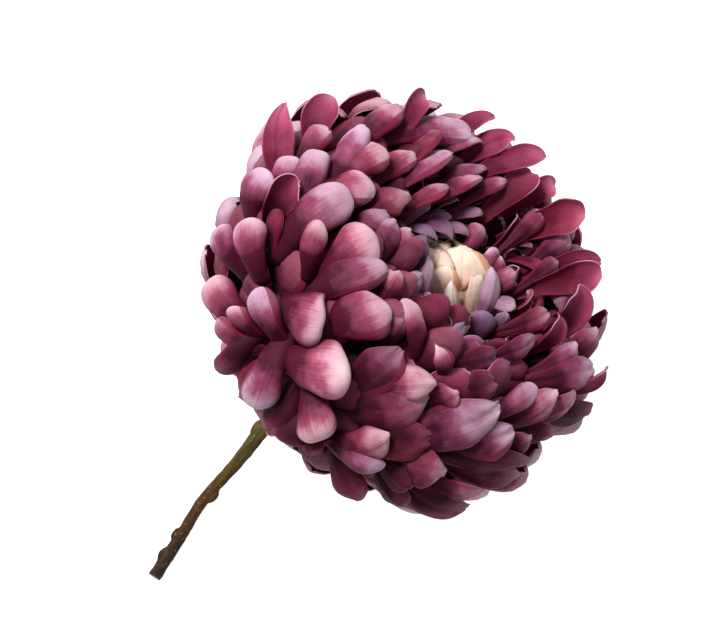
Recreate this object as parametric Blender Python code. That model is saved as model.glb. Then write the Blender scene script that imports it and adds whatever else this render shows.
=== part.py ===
"""A large incurved chrysanthemum, cut with a short stem and lying on its side.

Metres, +Z up. The bloom rests on its lower florets and on the cut end of the stem, on the
plane z = 0. +X runs from the cut end towards the bloom, whose face looks up and along +X.
The origin is on that plane, under the middle of the whole flower.

Bloom, centre and calyx are modelled about the flower's own axis, with the face towards +Z
and the middle of the head at the origin. The head empty carries them and tilts them into
place. The stem is modelled where it lies.
"""

import math
import random

import bmesh
import bpy
from mathutils import Matrix, Vector

MM = 0.001

# How the flower lies: the middle of its head, and how far its face looks up.
HEAD_CENTRE = Vector((31.2 * MM, -1.0 * MM, 56.5 * MM))
FACE_TILT = math.radians(45)

# The head as a whole: a flattened ball with a shallow hollow in its face.
HEAD_RADIUS = 71 * MM
HEAD_HALF_DEPTH = 52 * MM
BACK_ANGLE = math.radians(136)
SHOULDER_ANGLE = math.radians(46)
HOLLOW = [(38 * MM, 39 * MM), (29 * MM, 37.5 * MM), (21.5 * MM, 33.5 * MM)]

# The solid heart that the florets stand out of, cut flat at both ends.
CORE_RADIUS = 42 * MM
CORE_HALF_DEPTH = 30 * MM
CORE_TOP = 8 * MM
CORE_BOTTOM = -27 * MM
SEAT_RADIUS = 14 * MM
SEAT_GAP = 0.3 * MM

# The florets: spacing of their tips and half of their width, on the ball and in its hollow.
BALL_SPACING = 19.0 * MM
HOLLOW_SPACING = 9.5 * MM
BALL_HALF_WIDTH = 7.5 * MM
HOLLOW_HALF_WIDTH = 4.2 * MM
SMALLER_FROM = 0.68
FLORET_THICKNESS = 0.9 * MM
GOLDEN_ANGLE = math.pi * (3 - math.sqrt(5))
FLORET_SEED = 30

# Along a floret: share of its length, and share of its full half width there. The edges of
# its tip and the flat of its back are shares of the same width, and so is the depth of its cup.
FLORET_OUTLINE = [(0, 0.4), (0.4, 0.8), (0.72, 1.0), (0.92, 0.8)]
TIP_WIDTH = 0.34
BACK_WIDTH = 0.45
CUP = 0.42

# A floret's middle line: it leaves the core behind its tip, comes up to the head's outer
# form, bulges and tucks its tip in. It leans outwards, most of all at the back.
ROOT_BEHIND = 0.1
ROOT_SINK = 3 * MM
BALL_REACH = 30 * MM
HOLLOW_REACH = 12 * MM
BULGE = 5.5 * MM
TIP_TUCK = 2.5 * MM
BALL_LEAN = math.radians(31)
BACK_LEAN = math.radians(38)
BACK_LEAN_TO = 0.25
HOLLOW_LEAN = math.radians(6)

# How much the florets of the bloom differ from each other, either way.
LIFT_SPREAD = 2.5
LEAN_SPREAD = 10
TWIST_SPREAD = 22
ASIDE_SPREAD = 3
WIDTH_RANGE = (0.92, 1.06)

# How far the lowest florets are pressed below z = 0 before the flat of the floor is cut.
FLOOR_BITE = 0.25 * MM

# The pale bud in the middle of the face: a small ball of florets closed over its own heart.
BUD_MIDDLE = 20 * MM
BUD_RADIUS = 10.2 * MM
BUD_HALF_HEIGHT = 13 * MM
BUD_LOW_ANGLE = math.radians(112)
BUD_HIGH_ANGLE = math.radians(22)
BUD_CORE_MIDDLE = 18 * MM
BUD_CORE_RADIUS = 7.5 * MM
BUD_CORE_HALF_HEIGHT = 11.5 * MM
BUD_FLORETS = 13
BUD_HALF_WIDTH = 4.6 * MM
BUD_REACH = 13 * MM
BUD_TWIST_RANGE = (8, 26)
BUD_SEED = 3

# A bud floret's middle line: share of its reach behind the tip, and millimetres proud of the
# bud's ball. Its root lies further in and down from the first of these points.
BUD_LINE = [(0.8, -2.2), (0.3, 0.6), (0, -1.2)]
BUD_ROOT_INWARDS = 1.5
BUD_ROOT_DOWN = 3

# The lilac florets round the bud: two rows that rise from a low ring, as middle lines in
# millimetres from root to tip.
RING_RADII = (11.8, 16.6)
RING_TOP = 13
RING_ARCS = [
    [(14.6, 10), (15.6, 17), (17.2, 25), (14.2, 31)],
    [(13.2, 10), (13.7, 18), (14.4, 27), (10.8, 33)],
]
RING_SIDES = 24
RING_FLORETS_IN_A_ROW = 11
RING_HALF_WIDTH = 3.3 * MM
RING_TURN_SPREAD = 4
RING_TWIST_SPREAD = 12
RING_HEIGHT_RANGE = (-1.5, 0.5)
RING_SEED = 5

# The calyx: a shallow cup under the head with two rows of small pointed bracts. A row is its
# radius and height, and a bract's root and tip lie off that, both as (radius, height).
CALYX_PROFILE = [(3.6, -40), (5.6, -38.6), (8.6, -35), (10.6, -31), (11.0, -27.3)]
CALYX_SIDES = 18
BRACTS_IN_A_ROW = 9
BRACT_ROWS = [(7.6, -32.5), (9.2, -29.0)]
BRACT_ROOT = (-1.2, -5)
BRACT_TIP = (2.4, 1.4)
BRACT_BULGE = 0.9
BRACT_HALF_WIDTH = 2.0 * MM

# The stem: hand-set points of its middle line with its radius there, from calyx to cut end.
STEM_ROUTE = [
    ((-4.9, -1.7, 17.6), 2.9),
    ((-18.2, -5.9, 12.6), 2.75),
    ((-32.8, -10.5, 9.4), 2.6),
    ((-46.2, -14.5, 7.0), 2.15),
    ((-59.6, -17.5, 4.9), 1.95),
    ((-74.0, -23.5, 3.2), 2.1),
    ((-89.0, -29.5, 2.1), 2.3),
]
STEM_TOP_RADIUS = 3.0
STEM_SIDES = 10
STEM_RINGS_PER_SPAN = 2
CUT_SLANT = math.radians(28)

# Leaf scars: place along the stem, turn about it and size. Each is sunk into the stem.
LEAF_SCARS = [(0.5, 60, 2.3), (0.72, 235, 2.1), (0.86, 75, 1.9), (0.93, 60, 1.8)]
SCAR_PLACE = 0.75


def clear_scene():
    for old in list(bpy.data.objects):
        bpy.data.objects.remove(old)


def material(name, colour, roughness):
    made = bpy.data.materials.new(name)
    made.use_nodes = True
    shader = made.node_tree.nodes["Principled BSDF"]
    shader.inputs["Base Color"].default_value = (*colour, 1)
    shader.inputs["Roughness"].default_value = roughness
    shader.inputs["Metallic"].default_value = 0
    return made


def mesh_object(name, mesh_data, finish=None, collection=None):
    made = bpy.data.objects.new(name, mesh_data)
    (collection or bpy.context.scene.collection).objects.link(made)
    if finish:
        made.data.materials.append(finish)
    return made


def finished_mesh(name, work):
    """A mesh of flat triangles, which a Boolean joins without folds."""
    bmesh.ops.recalc_face_normals(work, faces=work.faces)
    bmesh.ops.triangulate(work, faces=work.faces)
    made = bpy.data.meshes.new(name)
    work.to_mesh(made)
    work.free()
    return made


def new_collection(name):
    made = bpy.data.collections.new(name)
    bpy.context.scene.collection.children.link(made)
    return made


def mix(a, b, share):
    return a + (b - a) * share


class Line:
    """A run of (radius, height) points, read by the distance along it."""

    def __init__(self, points):
        self.points = [Vector(p) for p in points]
        self.marks = [0.0]
        for a, b in zip(self.points, self.points[1:]):
            self.marks.append(self.marks[-1] + (b - a).length)
        self.length = self.marks[-1]

    def at(self, distance):
        distance = min(max(distance, 0), self.length)
        for i, (low, high) in enumerate(zip(self.marks, self.marks[1:])):
            if distance <= high:
                share = (distance - low) / (high - low)
                return self.points[i].lerp(self.points[i + 1], share)
        return self.points[-1].copy()

    def along(self, distance):
        """The direction in which the line runs there, smoothed over a few millimetres."""
        reach = 3 * MM
        return (self.at(distance + reach) - self.at(distance - reach)).normalized()

    def beside(self, distance, outwards):
        """The point at a distance along the line, moved outwards from it."""
        way = self.along(distance)
        return self.at(distance) + Vector((way.y, -way.x)) * outwards


def ellipse_points(radius, half_height, middle, start, end):
    """Points of a ball's side, from one angle to another off the middle of its face."""
    steps = 24
    angles = [start + (end - start) * i / steps for i in range(steps + 1)]
    return [(radius * math.sin(a), middle + half_height * math.cos(a)) for a in angles]


def head_line():
    """The head's outer form, from the middle of its back to the hollow in its face."""
    side = ellipse_points(HEAD_RADIUS, HEAD_HALF_DEPTH, 0, math.pi, SHOULDER_ANGLE)
    return Line(side + HOLLOW)


def core_line():
    """Where the florets leave the core, in step with head_line."""
    low = math.acos(CORE_BOTTOM / CORE_HALF_DEPTH)
    high = math.acos(CORE_TOP / CORE_HALF_DEPTH)
    side = ellipse_points(CORE_RADIUS, CORE_HALF_DEPTH, 0, low, high)
    return Line([(SEAT_RADIUS, CORE_BOTTOM), *side, (SEAT_RADIUS, CORE_TOP)])


def smallness(share):
    """0 all over the ball, rising to 1 for the innermost florets of the hollow."""
    return max(0, (share - SMALLER_FROM) / (1 - SMALLER_FROM))


def floret_places():
    """(turn about the axis, distance along head_line, share from back to face) of each floret."""
    line = head_line()
    back = ellipse_points(HEAD_RADIUS, HEAD_HALF_DEPTH, 0, math.pi, BACK_ANGLE)
    first = Line(back).length
    step = 0.1 * MM
    places, distance, count = [], first, 0.5
    while distance < line.length:
        share = (distance - first) / (line.length - first)
        spacing = mix(BALL_SPACING, HOLLOW_SPACING, smallness(share))
        count += 2 * math.pi * line.at(distance).x * step / (0.87 * spacing**2)
        if count >= 1:
            count -= 1
            places.append((len(places) * GOLDEN_ANGLE, distance, share))
        distance += step
    return places


def bezier(a, b, c, d, t):
    u = 1 - t
    return a * u**3 + b * (3 * u * u * t) + c * (3 * u * t * t) + d * t**3


def bezier_slope(a, b, c, d, t):
    u = 1 - t
    return ((b - a) * (u * u) + (c - b) * (2 * u * t) + (d - c) * (t * t)).normalized()


def turned(direction, angle):
    c, s = math.cos(angle), math.sin(angle)
    return Vector((direction.x * c - direction.y * s, direction.x * s + direction.y * c))


def leaning_arc(root, hip, crest, tip, lean):
    """Four control points of a middle line, leant outwards about its tip."""
    return root, *[tip + turned(point - tip, -lean) for point in (hip, crest)], tip


def bloom_arc(distance, share, lift, lean):
    """The middle line of a floret of the bloom, as four (radius, height) points."""
    line, roots = head_line(), core_line()
    small = smallness(share)
    reach = mix(BALL_REACH, HOLLOW_REACH, small)
    lean += mix(BALL_LEAN, HOLLOW_LEAN, small)
    lean += BACK_LEAN * max(0, 1 - share / BACK_LEAN_TO) ** 1.3
    return leaning_arc(
        roots.beside(max(0, share - ROOT_BEHIND) * roots.length, -ROOT_SINK),
        line.beside(distance - reach, lift),
        line.beside(distance - reach * 0.4, lift + BULGE),
        line.beside(distance, lift - TIP_TUCK),
        lean,
    )


def floret_rows(arc, half_width, twist, turn):
    """A floret's corners, row by row from its root, turned about the flower's axis.

    A row is its left edge, two points of its back, its right edge and one of its inside. The
    last row is the two corners of its tip.
    """
    about_axis = Matrix.Rotation(turn, 3, "Z")
    rows = []
    for along, width in FLORET_OUTLINE:
        centre = bezier(*arc, along)
        way = bezier_slope(*arc, along)
        middle = Vector((centre.x, 0, centre.y))
        out = Vector((way.y, 0, -way.x))
        side = Vector((0, 1, 0))
        angle = twist * along
        across = side * math.cos(angle) + out * math.sin(angle)
        facing = out * math.cos(angle) - side * math.sin(angle)
        half = half_width * width
        edge = middle - facing * (CUP * half * along)
        points = [
            edge - across * half,
            middle - across * half * BACK_WIDTH,
            middle + across * half * BACK_WIDTH,
            edge + across * half,
            middle - facing * FLORET_THICKNESS,
        ]
        rows.append([about_axis @ p for p in points])
    tip = bezier(*arc, 1)
    corners = [Vector((tip.x, y * half_width, tip.y)) for y in (-TIP_WIDTH, TIP_WIDTH)]
    rows.append([about_axis @ p for p in corners])
    return rows


def pressed_on_floor(rows, place):
    """The rows of a floret, each lifted as far as it would sink into the floor."""
    up = place.inverted().to_3x3() @ Vector((0, 0, 1))
    lifted = []
    for row in rows:
        lowest = min((place @ p).z for p in row)
        lift = max(0, -FLOOR_BITE - lowest)
        lifted.append([p + up * lift for p in row])
    return lifted


def floret_mesh(rows):
    """One floret as a closed blade with sharp edges."""
    work = bmesh.new()
    *rows, ends = [[work.verts.new(p) for p in row] for row in rows]
    work.faces.new(rows[0])
    for low, high in zip(rows, rows[1:]):
        for i in range(5):
            j = (i + 1) % 5
            work.faces.new((low[i], high[i], high[j], low[j]))
    left, low_mid, high_mid, right, inner = rows[-1]
    work.faces.new((left, ends[0], low_mid))
    work.faces.new((low_mid, ends[0], ends[1], high_mid))
    work.faces.new((high_mid, ends[1], right))
    work.faces.new((right, ends[1], inner))
    work.faces.new((inner, ends[1], ends[0]))
    work.faces.new((inner, ends[0], left))
    return finished_mesh("floret", work)


def ball_mesh(name, radius, half_height, middle, cuts):
    """A flattened ball, cut flat at each (height, direction) of cuts."""
    work = bmesh.new()
    bmesh.ops.create_uvsphere(work, u_segments=20, v_segments=12, radius=1)
    bmesh.ops.scale(work, vec=(radius, radius, half_height), verts=work.verts)
    bmesh.ops.translate(work, vec=(0, 0, middle), verts=work.verts)
    for height, up in cuts:
        cut = bmesh.ops.bisect_plane(
            work,
            geom=work.verts[:] + work.edges[:] + work.faces[:],
            plane_co=(0, 0, height),
            plane_no=(0, 0, up),
            clear_outer=True,
        )
        rim = [e for e in cut["geom_cut"] if isinstance(e, bmesh.types.BMEdge)]
        bmesh.ops.contextual_create(work, geom=rim)
    return finished_mesh(name, work)


def fuse(target, parts_collection):
    """Joins every object of the collection to the target, and removes them."""
    join = target.modifiers.new("join", "BOOLEAN")
    join.operation = "UNION"
    join.operand_type = "COLLECTION"
    join.collection = parts_collection
    join.solver = "MANIFOLD"
    bpy.context.view_layer.objects.active = target
    bpy.ops.object.modifier_apply(modifier=join.name)
    for part in list(parts_collection.objects):
        bpy.data.objects.remove(part)
    bpy.data.collections.remove(parts_collection)
    keep_outer_skin(target)


def keep_outer_skin(target):
    """Fills sealed hollows and drops loose scraps: only the largest connected skin is kept."""
    work = bmesh.new()
    work.from_mesh(target.data)
    left, skins = set(work.faces), []
    while left:
        seed = left.pop()
        skin, edge = {seed}, [seed]
        while edge:
            for side in edge.pop().edges:
                for face in side.link_faces:
                    if face in left:
                        left.discard(face)
                        skin.add(face)
                        edge.append(face)
        skins.append(skin)
    largest = max(skins, key=len)
    rest = [face for face in work.faces if face not in largest]
    bmesh.ops.delete(work, geom=rest, context="FACES")
    work.to_mesh(target.data)
    work.free()


def cut_at_floor(target, floor):
    """Leaves a small flat spot wherever the target is pressed on the floor."""
    cut = target.modifiers.new("floor", "BOOLEAN")
    cut.operation = "DIFFERENCE"
    cut.solver = "MANIFOLD"
    cut.object = floor
    bpy.context.view_layer.objects.active = target
    bpy.ops.object.modifier_apply(modifier=cut.name)
    keep_outer_skin(target)


def floor_cutter():
    size = 300 * MM
    work = bmesh.new()
    bmesh.ops.create_cube(work, size=size)
    bmesh.ops.translate(work, vec=(0, 0, -size / 2), verts=work.verts)
    floor = mesh_object("floor_cut", finished_mesh("floor_cut", work))
    floor.hide_render = True
    floor.display_type = "WIRE"
    return floor


def head_empty():
    head = bpy.data.objects.new("head", None)
    bpy.context.scene.collection.objects.link(head)
    head.location = HEAD_CENTRE
    head.rotation_euler.y = math.pi / 2 - FACE_TILT
    bpy.context.view_layer.update()
    return head


def whorl(name, heart, blades, finish, head):
    """A heart with its blades, each a list of rows, as one solid carried by the head."""
    made = mesh_object(name, heart, finish)
    made.parent = head
    loose = new_collection(name)
    for number, rows in enumerate(blades):
        mesh_object(f"{name}_{number}", floret_mesh(rows), None, loose).parent = head
    bpy.context.view_layer.update()
    fuse(made, loose)
    return made


def bloom(finish, head):
    """The core with all of its coloured florets."""
    cuts = [(CORE_TOP, 1), (CORE_BOTTOM, -1)]
    core = ball_mesh("core", CORE_RADIUS, CORE_HALF_DEPTH, 0, cuts)
    draw = random.Random(FLORET_SEED)
    blades = []
    for turn, distance, share in floret_places():
        lift = draw.uniform(-LIFT_SPREAD, LIFT_SPREAD) * MM
        lean = math.radians(draw.uniform(-LEAN_SPREAD, LEAN_SPREAD))
        twist = math.radians(draw.uniform(-TWIST_SPREAD, TWIST_SPREAD))
        aside = math.radians(draw.uniform(-ASIDE_SPREAD, ASIDE_SPREAD))
        width = mix(BALL_HALF_WIDTH, HOLLOW_HALF_WIDTH, smallness(share))
        width *= draw.uniform(*WIDTH_RANGE)
        arc = bloom_arc(distance, share, lift, lean)
        rows = floret_rows(arc, width, twist, turn + aside)
        blades.append(pressed_on_floor(rows, head.matrix_world))
    return whorl("bloom_florets", core, blades, finish, head)


def centre(finish, head):
    """The pale bud, seated on the flat top of the core."""
    cuts = [(CORE_TOP + SEAT_GAP, -1)]
    heart = ball_mesh("bud", BUD_CORE_RADIUS, BUD_CORE_HALF_HEIGHT, BUD_CORE_MIDDLE, cuts)
    line = Line(
        ellipse_points(BUD_RADIUS, BUD_HALF_HEIGHT, BUD_MIDDLE, BUD_LOW_ANGLE, BUD_HIGH_ANGLE)
    )
    draw = random.Random(BUD_SEED)
    blades = []
    for number in range(BUD_FLORETS):
        share = number / (BUD_FLORETS - 1)
        distance = line.length * mix(0.3, 1, share)
        upper = [line.beside(distance - BUD_REACH * behind, out * MM) for behind, out in BUD_LINE]
        root = upper[0] - Vector((BUD_ROOT_INWARDS, BUD_ROOT_DOWN)) * MM
        twist = math.radians(draw.uniform(*BUD_TWIST_RANGE))
        width = BUD_HALF_WIDTH * mix(1, 0.75, share)
        blades.append(floret_rows((root, *upper), width, twist, number * GOLDEN_ANGLE))
    return whorl("centre_florets", heart, blades, finish, head)


def lathe_mesh(name, profile, sides, closed):
    """A solid turned about the axis from (radius, height) points in millimetres.

    A closed profile gives a ring, and an open one a solid capped at both ends.
    """
    work = bmesh.new()
    rings = []
    for radius, height in profile:
        angles = [2 * math.pi * i / sides for i in range(sides)]
        points = [Vector((radius * math.cos(a), radius * math.sin(a), height)) for a in angles]
        rings.append([work.verts.new(p * MM) for p in points])
    skin_rings(work, rings, closed)
    return finished_mesh(name, work)


def skin_rings(work, rings, closed=False):
    """Side faces between rings of corners, with a cap at each end unless they close up."""
    pairs = list(zip(rings, rings[1:]))
    if closed:
        pairs.append((rings[-1], rings[0]))
    else:
        work.faces.new(rings[0])
        work.faces.new(rings[-1])
    for low, high in pairs:
        count = len(low)
        for i in range(count):
            j = (i + 1) % count
            work.faces.new((low[i], low[j], high[j], high[i]))


def inner_ring(finish, head):
    """The small lilac florets that stand in two rows round the bud."""
    inner, outer = RING_RADII
    seat = (CORE_TOP + SEAT_GAP) / MM
    profile = [(inner, seat), (outer, seat), (outer, RING_TOP), (inner, RING_TOP)]
    draw = random.Random(RING_SEED)
    blades = []
    for row, arc in enumerate(RING_ARCS):
        for number in range(RING_FLORETS_IN_A_ROW):
            turn = 2 * math.pi * (number + row / 2) / RING_FLORETS_IN_A_ROW
            turn += math.radians(draw.uniform(-RING_TURN_SPREAD, RING_TURN_SPREAD))
            twist = math.radians(draw.uniform(-RING_TWIST_SPREAD, RING_TWIST_SPREAD))
            raised = Vector((0, draw.uniform(*RING_HEIGHT_RANGE)))
            middle = [Vector(arc[0]) * MM] + [(Vector(p) + raised) * MM for p in arc[1:]]
            blades.append(floret_rows(middle, RING_HALF_WIDTH, twist, turn))
    heart = lathe_mesh("ring", profile, RING_SIDES, closed=True)
    return whorl("inner_florets", heart, blades, finish, head)


def calyx(finish, head):
    """The green cup under the head, with its bracts."""
    blades = []
    for row, place in enumerate(BRACT_ROWS):
        root = (Vector(place) + Vector(BRACT_ROOT)) * MM
        tip = (Vector(place) + Vector(BRACT_TIP)) * MM
        crest = root.lerp(tip, 0.7) + Vector((BRACT_BULGE, 0)) * MM
        for number in range(BRACTS_IN_A_ROW):
            turn = 2 * math.pi * (number + row / 2) / BRACTS_IN_A_ROW
            arc = (root, root.lerp(tip, 0.4), crest, tip)
            blades.append(floret_rows(arc, BRACT_HALF_WIDTH, 0, turn))
    cup = lathe_mesh("cup", CALYX_PROFILE, CALYX_SIDES, closed=False)
    return whorl("calyx", cup, blades, finish, head)


def stem_route(head):
    """Points of the stem's middle line with its radius there, smooth between the set ones."""
    top = head.matrix_world @ Vector((0, 0, CALYX_PROFILE[0][1] * MM - SEAT_GAP))
    axis = head.matrix_world.to_3x3() @ Vector((0, 0, 1))
    marks = [(top, STEM_TOP_RADIUS * MM)]
    marks += [(Vector(p) * MM, r * MM) for p, r in STEM_ROUTE]
    points = [p for p, r in marks]
    ways = [-axis]
    for before, after in zip(points, points[2:]):
        ways.append((after - before).normalized())
    ways.append((points[-1] - points[-2]).normalized())
    route = [marks[0]]
    for i in range(len(points) - 1):
        reach = (points[i + 1] - points[i]).length / 3
        control = (
            points[i],
            points[i] + ways[i] * reach,
            points[i + 1] - ways[i + 1] * reach,
            points[i + 1],
        )
        for k in range(1, STEM_RINGS_PER_SPAN + 1):
            t = k / STEM_RINGS_PER_SPAN
            route.append((bezier(*control, t), mix(marks[i][1], marks[i + 1][1], t)))
    return route, axis


def stem_rings(work, route, ways):
    """Rings of corners along the stem. None lies below the floor, and the last is slanted."""
    rings = []
    for (point, radius), way in zip(route, ways):
        across = way.cross(Vector((0, 0, 1))).normalized()
        upright = across.cross(way)
        slant = math.tan(CUT_SLANT) if point is route[-1][0] else 0
        ring = []
        for k in range(STEM_SIDES):
            a = 2 * math.pi * k / STEM_SIDES
            corner = point + across * (radius * math.cos(a)) + upright * (radius * math.sin(a))
            corner += way * (radius * math.sin(a) * slant)
            corner.z = max(0, corner.z)
            ring.append(work.verts.new(corner))
        rings.append(ring)
    return rings


def leaf_scars(route, ways):
    """The low bumps where leaves were, as loose pieces that are still to be joined."""
    scars = new_collection("scars")
    for number, (share, turn, size) in enumerate(LEAF_SCARS):
        index = round(share * (len(route) - 1))
        (point, radius), way = route[index], ways[index]
        across = way.cross(Vector((0, 0, 1))).normalized()
        angle = math.radians(turn)
        out = across * math.cos(angle) + across.cross(way) * math.sin(angle)
        bump = bmesh.new()
        bmesh.ops.create_icosphere(bump, subdivisions=1, radius=size * MM)
        knot = mesh_object(f"scar_{number}", finished_mesh("scar", bump), None, scars)
        knot.location = point + out * (radius * SCAR_PLACE)
    bpy.context.view_layer.update()
    return scars


def stem(finish, head):
    """The woody stem, with its slanted cut end lying on the floor."""
    route, axis = stem_route(head)
    points = [p for p, r in route]
    ways = [-axis]
    ways += [(b - a).normalized() for a, b in zip(points, points[2:])]
    ways.append((points[-1] - points[-2]).normalized())
    work = bmesh.new()
    skin_rings(work, stem_rings(work, route, ways))
    made = mesh_object("stem", finished_mesh("stem", work), finish)
    fuse(made, leaf_scars(route, ways))
    return made


def main():
    clear_scene()
    petal = material("petal", (0.42, 0.09, 0.19), 0.6)
    cream = material("cream", (0.78, 0.62, 0.42), 0.6)
    lilac = material("lilac", (0.32, 0.18, 0.30), 0.6)
    green = material("green", (0.10, 0.12, 0.03), 0.7)
    bark = material("bark", (0.12, 0.09, 0.025), 0.7)
    head = head_empty()
    floor = floor_cutter()
    cut_at_floor(bloom(petal, head), floor)
    centre(cream, head)
    inner_ring(lilac, head)
    calyx(green, head)
    stem(bark, head)


main()
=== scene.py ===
"""The looks of a large cut chrysanthemum that lies on its side on a pale floor.

Everything is in metres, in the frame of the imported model: the flower lies on z = 0, with +X
from the cut end of its stem towards the bloom. The florets keep the places, middle lines and
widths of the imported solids, and replace them with thin, rolled and hooded petals.
"""

import math
import random

import bmesh
import bpy
import numpy as np
from mathutils import Matrix, Vector


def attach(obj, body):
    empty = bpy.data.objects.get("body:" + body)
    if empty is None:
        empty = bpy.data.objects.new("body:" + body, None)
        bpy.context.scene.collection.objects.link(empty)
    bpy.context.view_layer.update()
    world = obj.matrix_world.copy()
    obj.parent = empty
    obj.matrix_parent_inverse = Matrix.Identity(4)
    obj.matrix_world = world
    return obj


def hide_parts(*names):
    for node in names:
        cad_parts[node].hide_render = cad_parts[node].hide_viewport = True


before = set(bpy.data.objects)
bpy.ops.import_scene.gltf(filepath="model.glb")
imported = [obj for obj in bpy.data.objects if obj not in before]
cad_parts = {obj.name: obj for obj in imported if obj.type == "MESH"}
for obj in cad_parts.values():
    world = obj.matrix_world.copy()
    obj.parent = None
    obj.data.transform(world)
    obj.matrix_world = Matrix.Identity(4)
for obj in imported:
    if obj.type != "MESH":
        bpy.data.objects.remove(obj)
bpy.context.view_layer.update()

# Stem: one woody shoot, cut with a slanted blade. It is drawn as a curve through the points
# that the solid stem follows, thickened, and the four leaf scars are grown into its bark.
MM = 0.001
STEM_ROUTE = [
    ((4.2, -1.0, 29.6), 3.0),
    ((-4.9, -1.7, 17.6), 2.9),
    ((-18.2, -5.9, 12.6), 2.75),
    ((-32.8, -10.5, 9.4), 2.6),
    ((-46.2, -14.5, 7.0), 2.15),
    ((-59.6, -17.5, 4.9), 1.95),
    ((-74.0, -23.5, 3.2), 2.1),
    ((-89.0, -29.5, 2.1), 2.3),
]
STEM_CUT_AT = Vector((-89.4, -29.7, 2.2)) * MM
STEM_CUT_FACING = Vector((-0.83, -0.33, 0.45))
CUT_RADIUS = 2.6 * MM
LEAF_SCARS = [
    ((-31.5, -8.4, 10.4), 2.0),
    ((-57.0, -18.4, 5.6), 1.7),
    ((-74.5, -22.0, 3.8), 1.6),
    ((-82.0, -25.0, 3.2), 1.6),
]
SCAR_STRETCH = (1.7, 1.0, 0.8)
STEM_HEADING = math.radians(19)
BARK_VOXEL = 0.35 * MM
KNOT_SIZE = 3 * MM
KNOT_HEIGHT = 0.5 * MM
RIND = 0.35 * MM
PITH_DEPTH = 0.2 * MM


def deselect_all():
    if bpy.context.object and bpy.context.object.mode != "OBJECT":
        bpy.ops.object.mode_set(mode="OBJECT")
    bpy.ops.object.select_all(action="DESELECT")


def apply_modifier(obj, kind, **settings):
    """Adds a modifier with these settings to obj and applies it."""
    modifier = obj.modifiers.new(kind.lower(), kind)
    for name, value in settings.items():
        setattr(modifier, name, value)
    bpy.context.view_layer.objects.active = obj
    bpy.ops.object.modifier_apply(modifier=modifier.name)


def select_points(obj, test):
    """Selects the points of obj, which is in edit mode, whose place passes the test."""
    work = bmesh.from_edit_mesh(obj.data)
    bpy.ops.mesh.select_all(action="DESELECT")
    for point in work.verts:
        point.select = test(point.co)
    work.select_flush(True)
    bmesh.update_edit_mesh(obj.data)


def joined(name, parts):
    deselect_all()
    for part in parts:
        part.select_set(True)
    bpy.context.view_layer.objects.active = parts[0]
    bpy.ops.object.join()
    parts[0].name = name
    parts[0].data.name = name
    return parts[0]


def kept_above_floor(obj, clearance=0.0):
    for point in obj.data.vertices:
        point.co.z = max(point.co.z, clearance)


def set_inputs(node, inputs):
    """Gives each of these inputs of a shader node its value, or links it to its socket."""
    for key, value in inputs.items():
        if isinstance(value, bpy.types.NodeSocket):
            node.id_data.links.new(value, node.inputs[key])
        else:
            node.inputs[key].default_value = value


def add_node(tree, kind, inputs=None, **settings):
    made = tree.nodes.new(kind)
    for name, value in settings.items():
        setattr(made, name, value)
    set_inputs(made, inputs or {})
    return made


def math_node(operation, a, b=0.0):
    """A sum in the tree that the socket a is in."""
    return add_node(a.id_data, "ShaderNodeMath", {0: a, 1: b}, operation=operation).outputs[0]


def plus(a, b):
    return math_node("ADD", a, b)


def minus(a, b):
    return math_node("SUBTRACT", a, b)


def times(a, b):
    return math_node("MULTIPLY", a, b)


def ramp_node(factor, stops):
    """A colour ramp from (place, grey value or colour) stops."""
    made = add_node(factor.id_data, "ShaderNodeValToRGB", {"Fac": factor})
    ramp = made.color_ramp
    while len(ramp.elements) < len(stops):
        ramp.elements.new(0.5)
    for element, (place, value) in zip(ramp.elements, stops):
        element.position = place
        colour = value if isinstance(value, tuple) else (value, value, value)
        element.color = (*colour, 1)
    return made.outputs["Color"]


def mixed(factor, a, b, blend="MIX"):
    inputs = {0: factor, 6: a, 7: b}
    made = add_node(a.id_data, "ShaderNodeMix", inputs, data_type="RGBA", blend_type=blend)
    return made.outputs[2]


def noise(place, scale, detail=2.0, **more):
    inputs = {"Vector": place, "Scale": scale, "Detail": detail, **more}
    return add_node(place.id_data, "ShaderNodeTexNoise", inputs).outputs[0]


def bumped(height, strength, depth):
    """The normal of a surface that is raised by height, up to depth."""
    inputs = {"Strength": strength, "Distance": depth, "Height": height}
    return add_node(height.id_data, "ShaderNodeBump", inputs).outputs[0]


def object_place(tree):
    return add_node(tree, "ShaderNodeTexCoord").outputs["Object"]


def new_material(name):
    made = bpy.data.materials.new(name)
    made.use_nodes = True
    tree = made.node_tree
    return made, tree, tree.nodes["Principled BSDF"]


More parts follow.
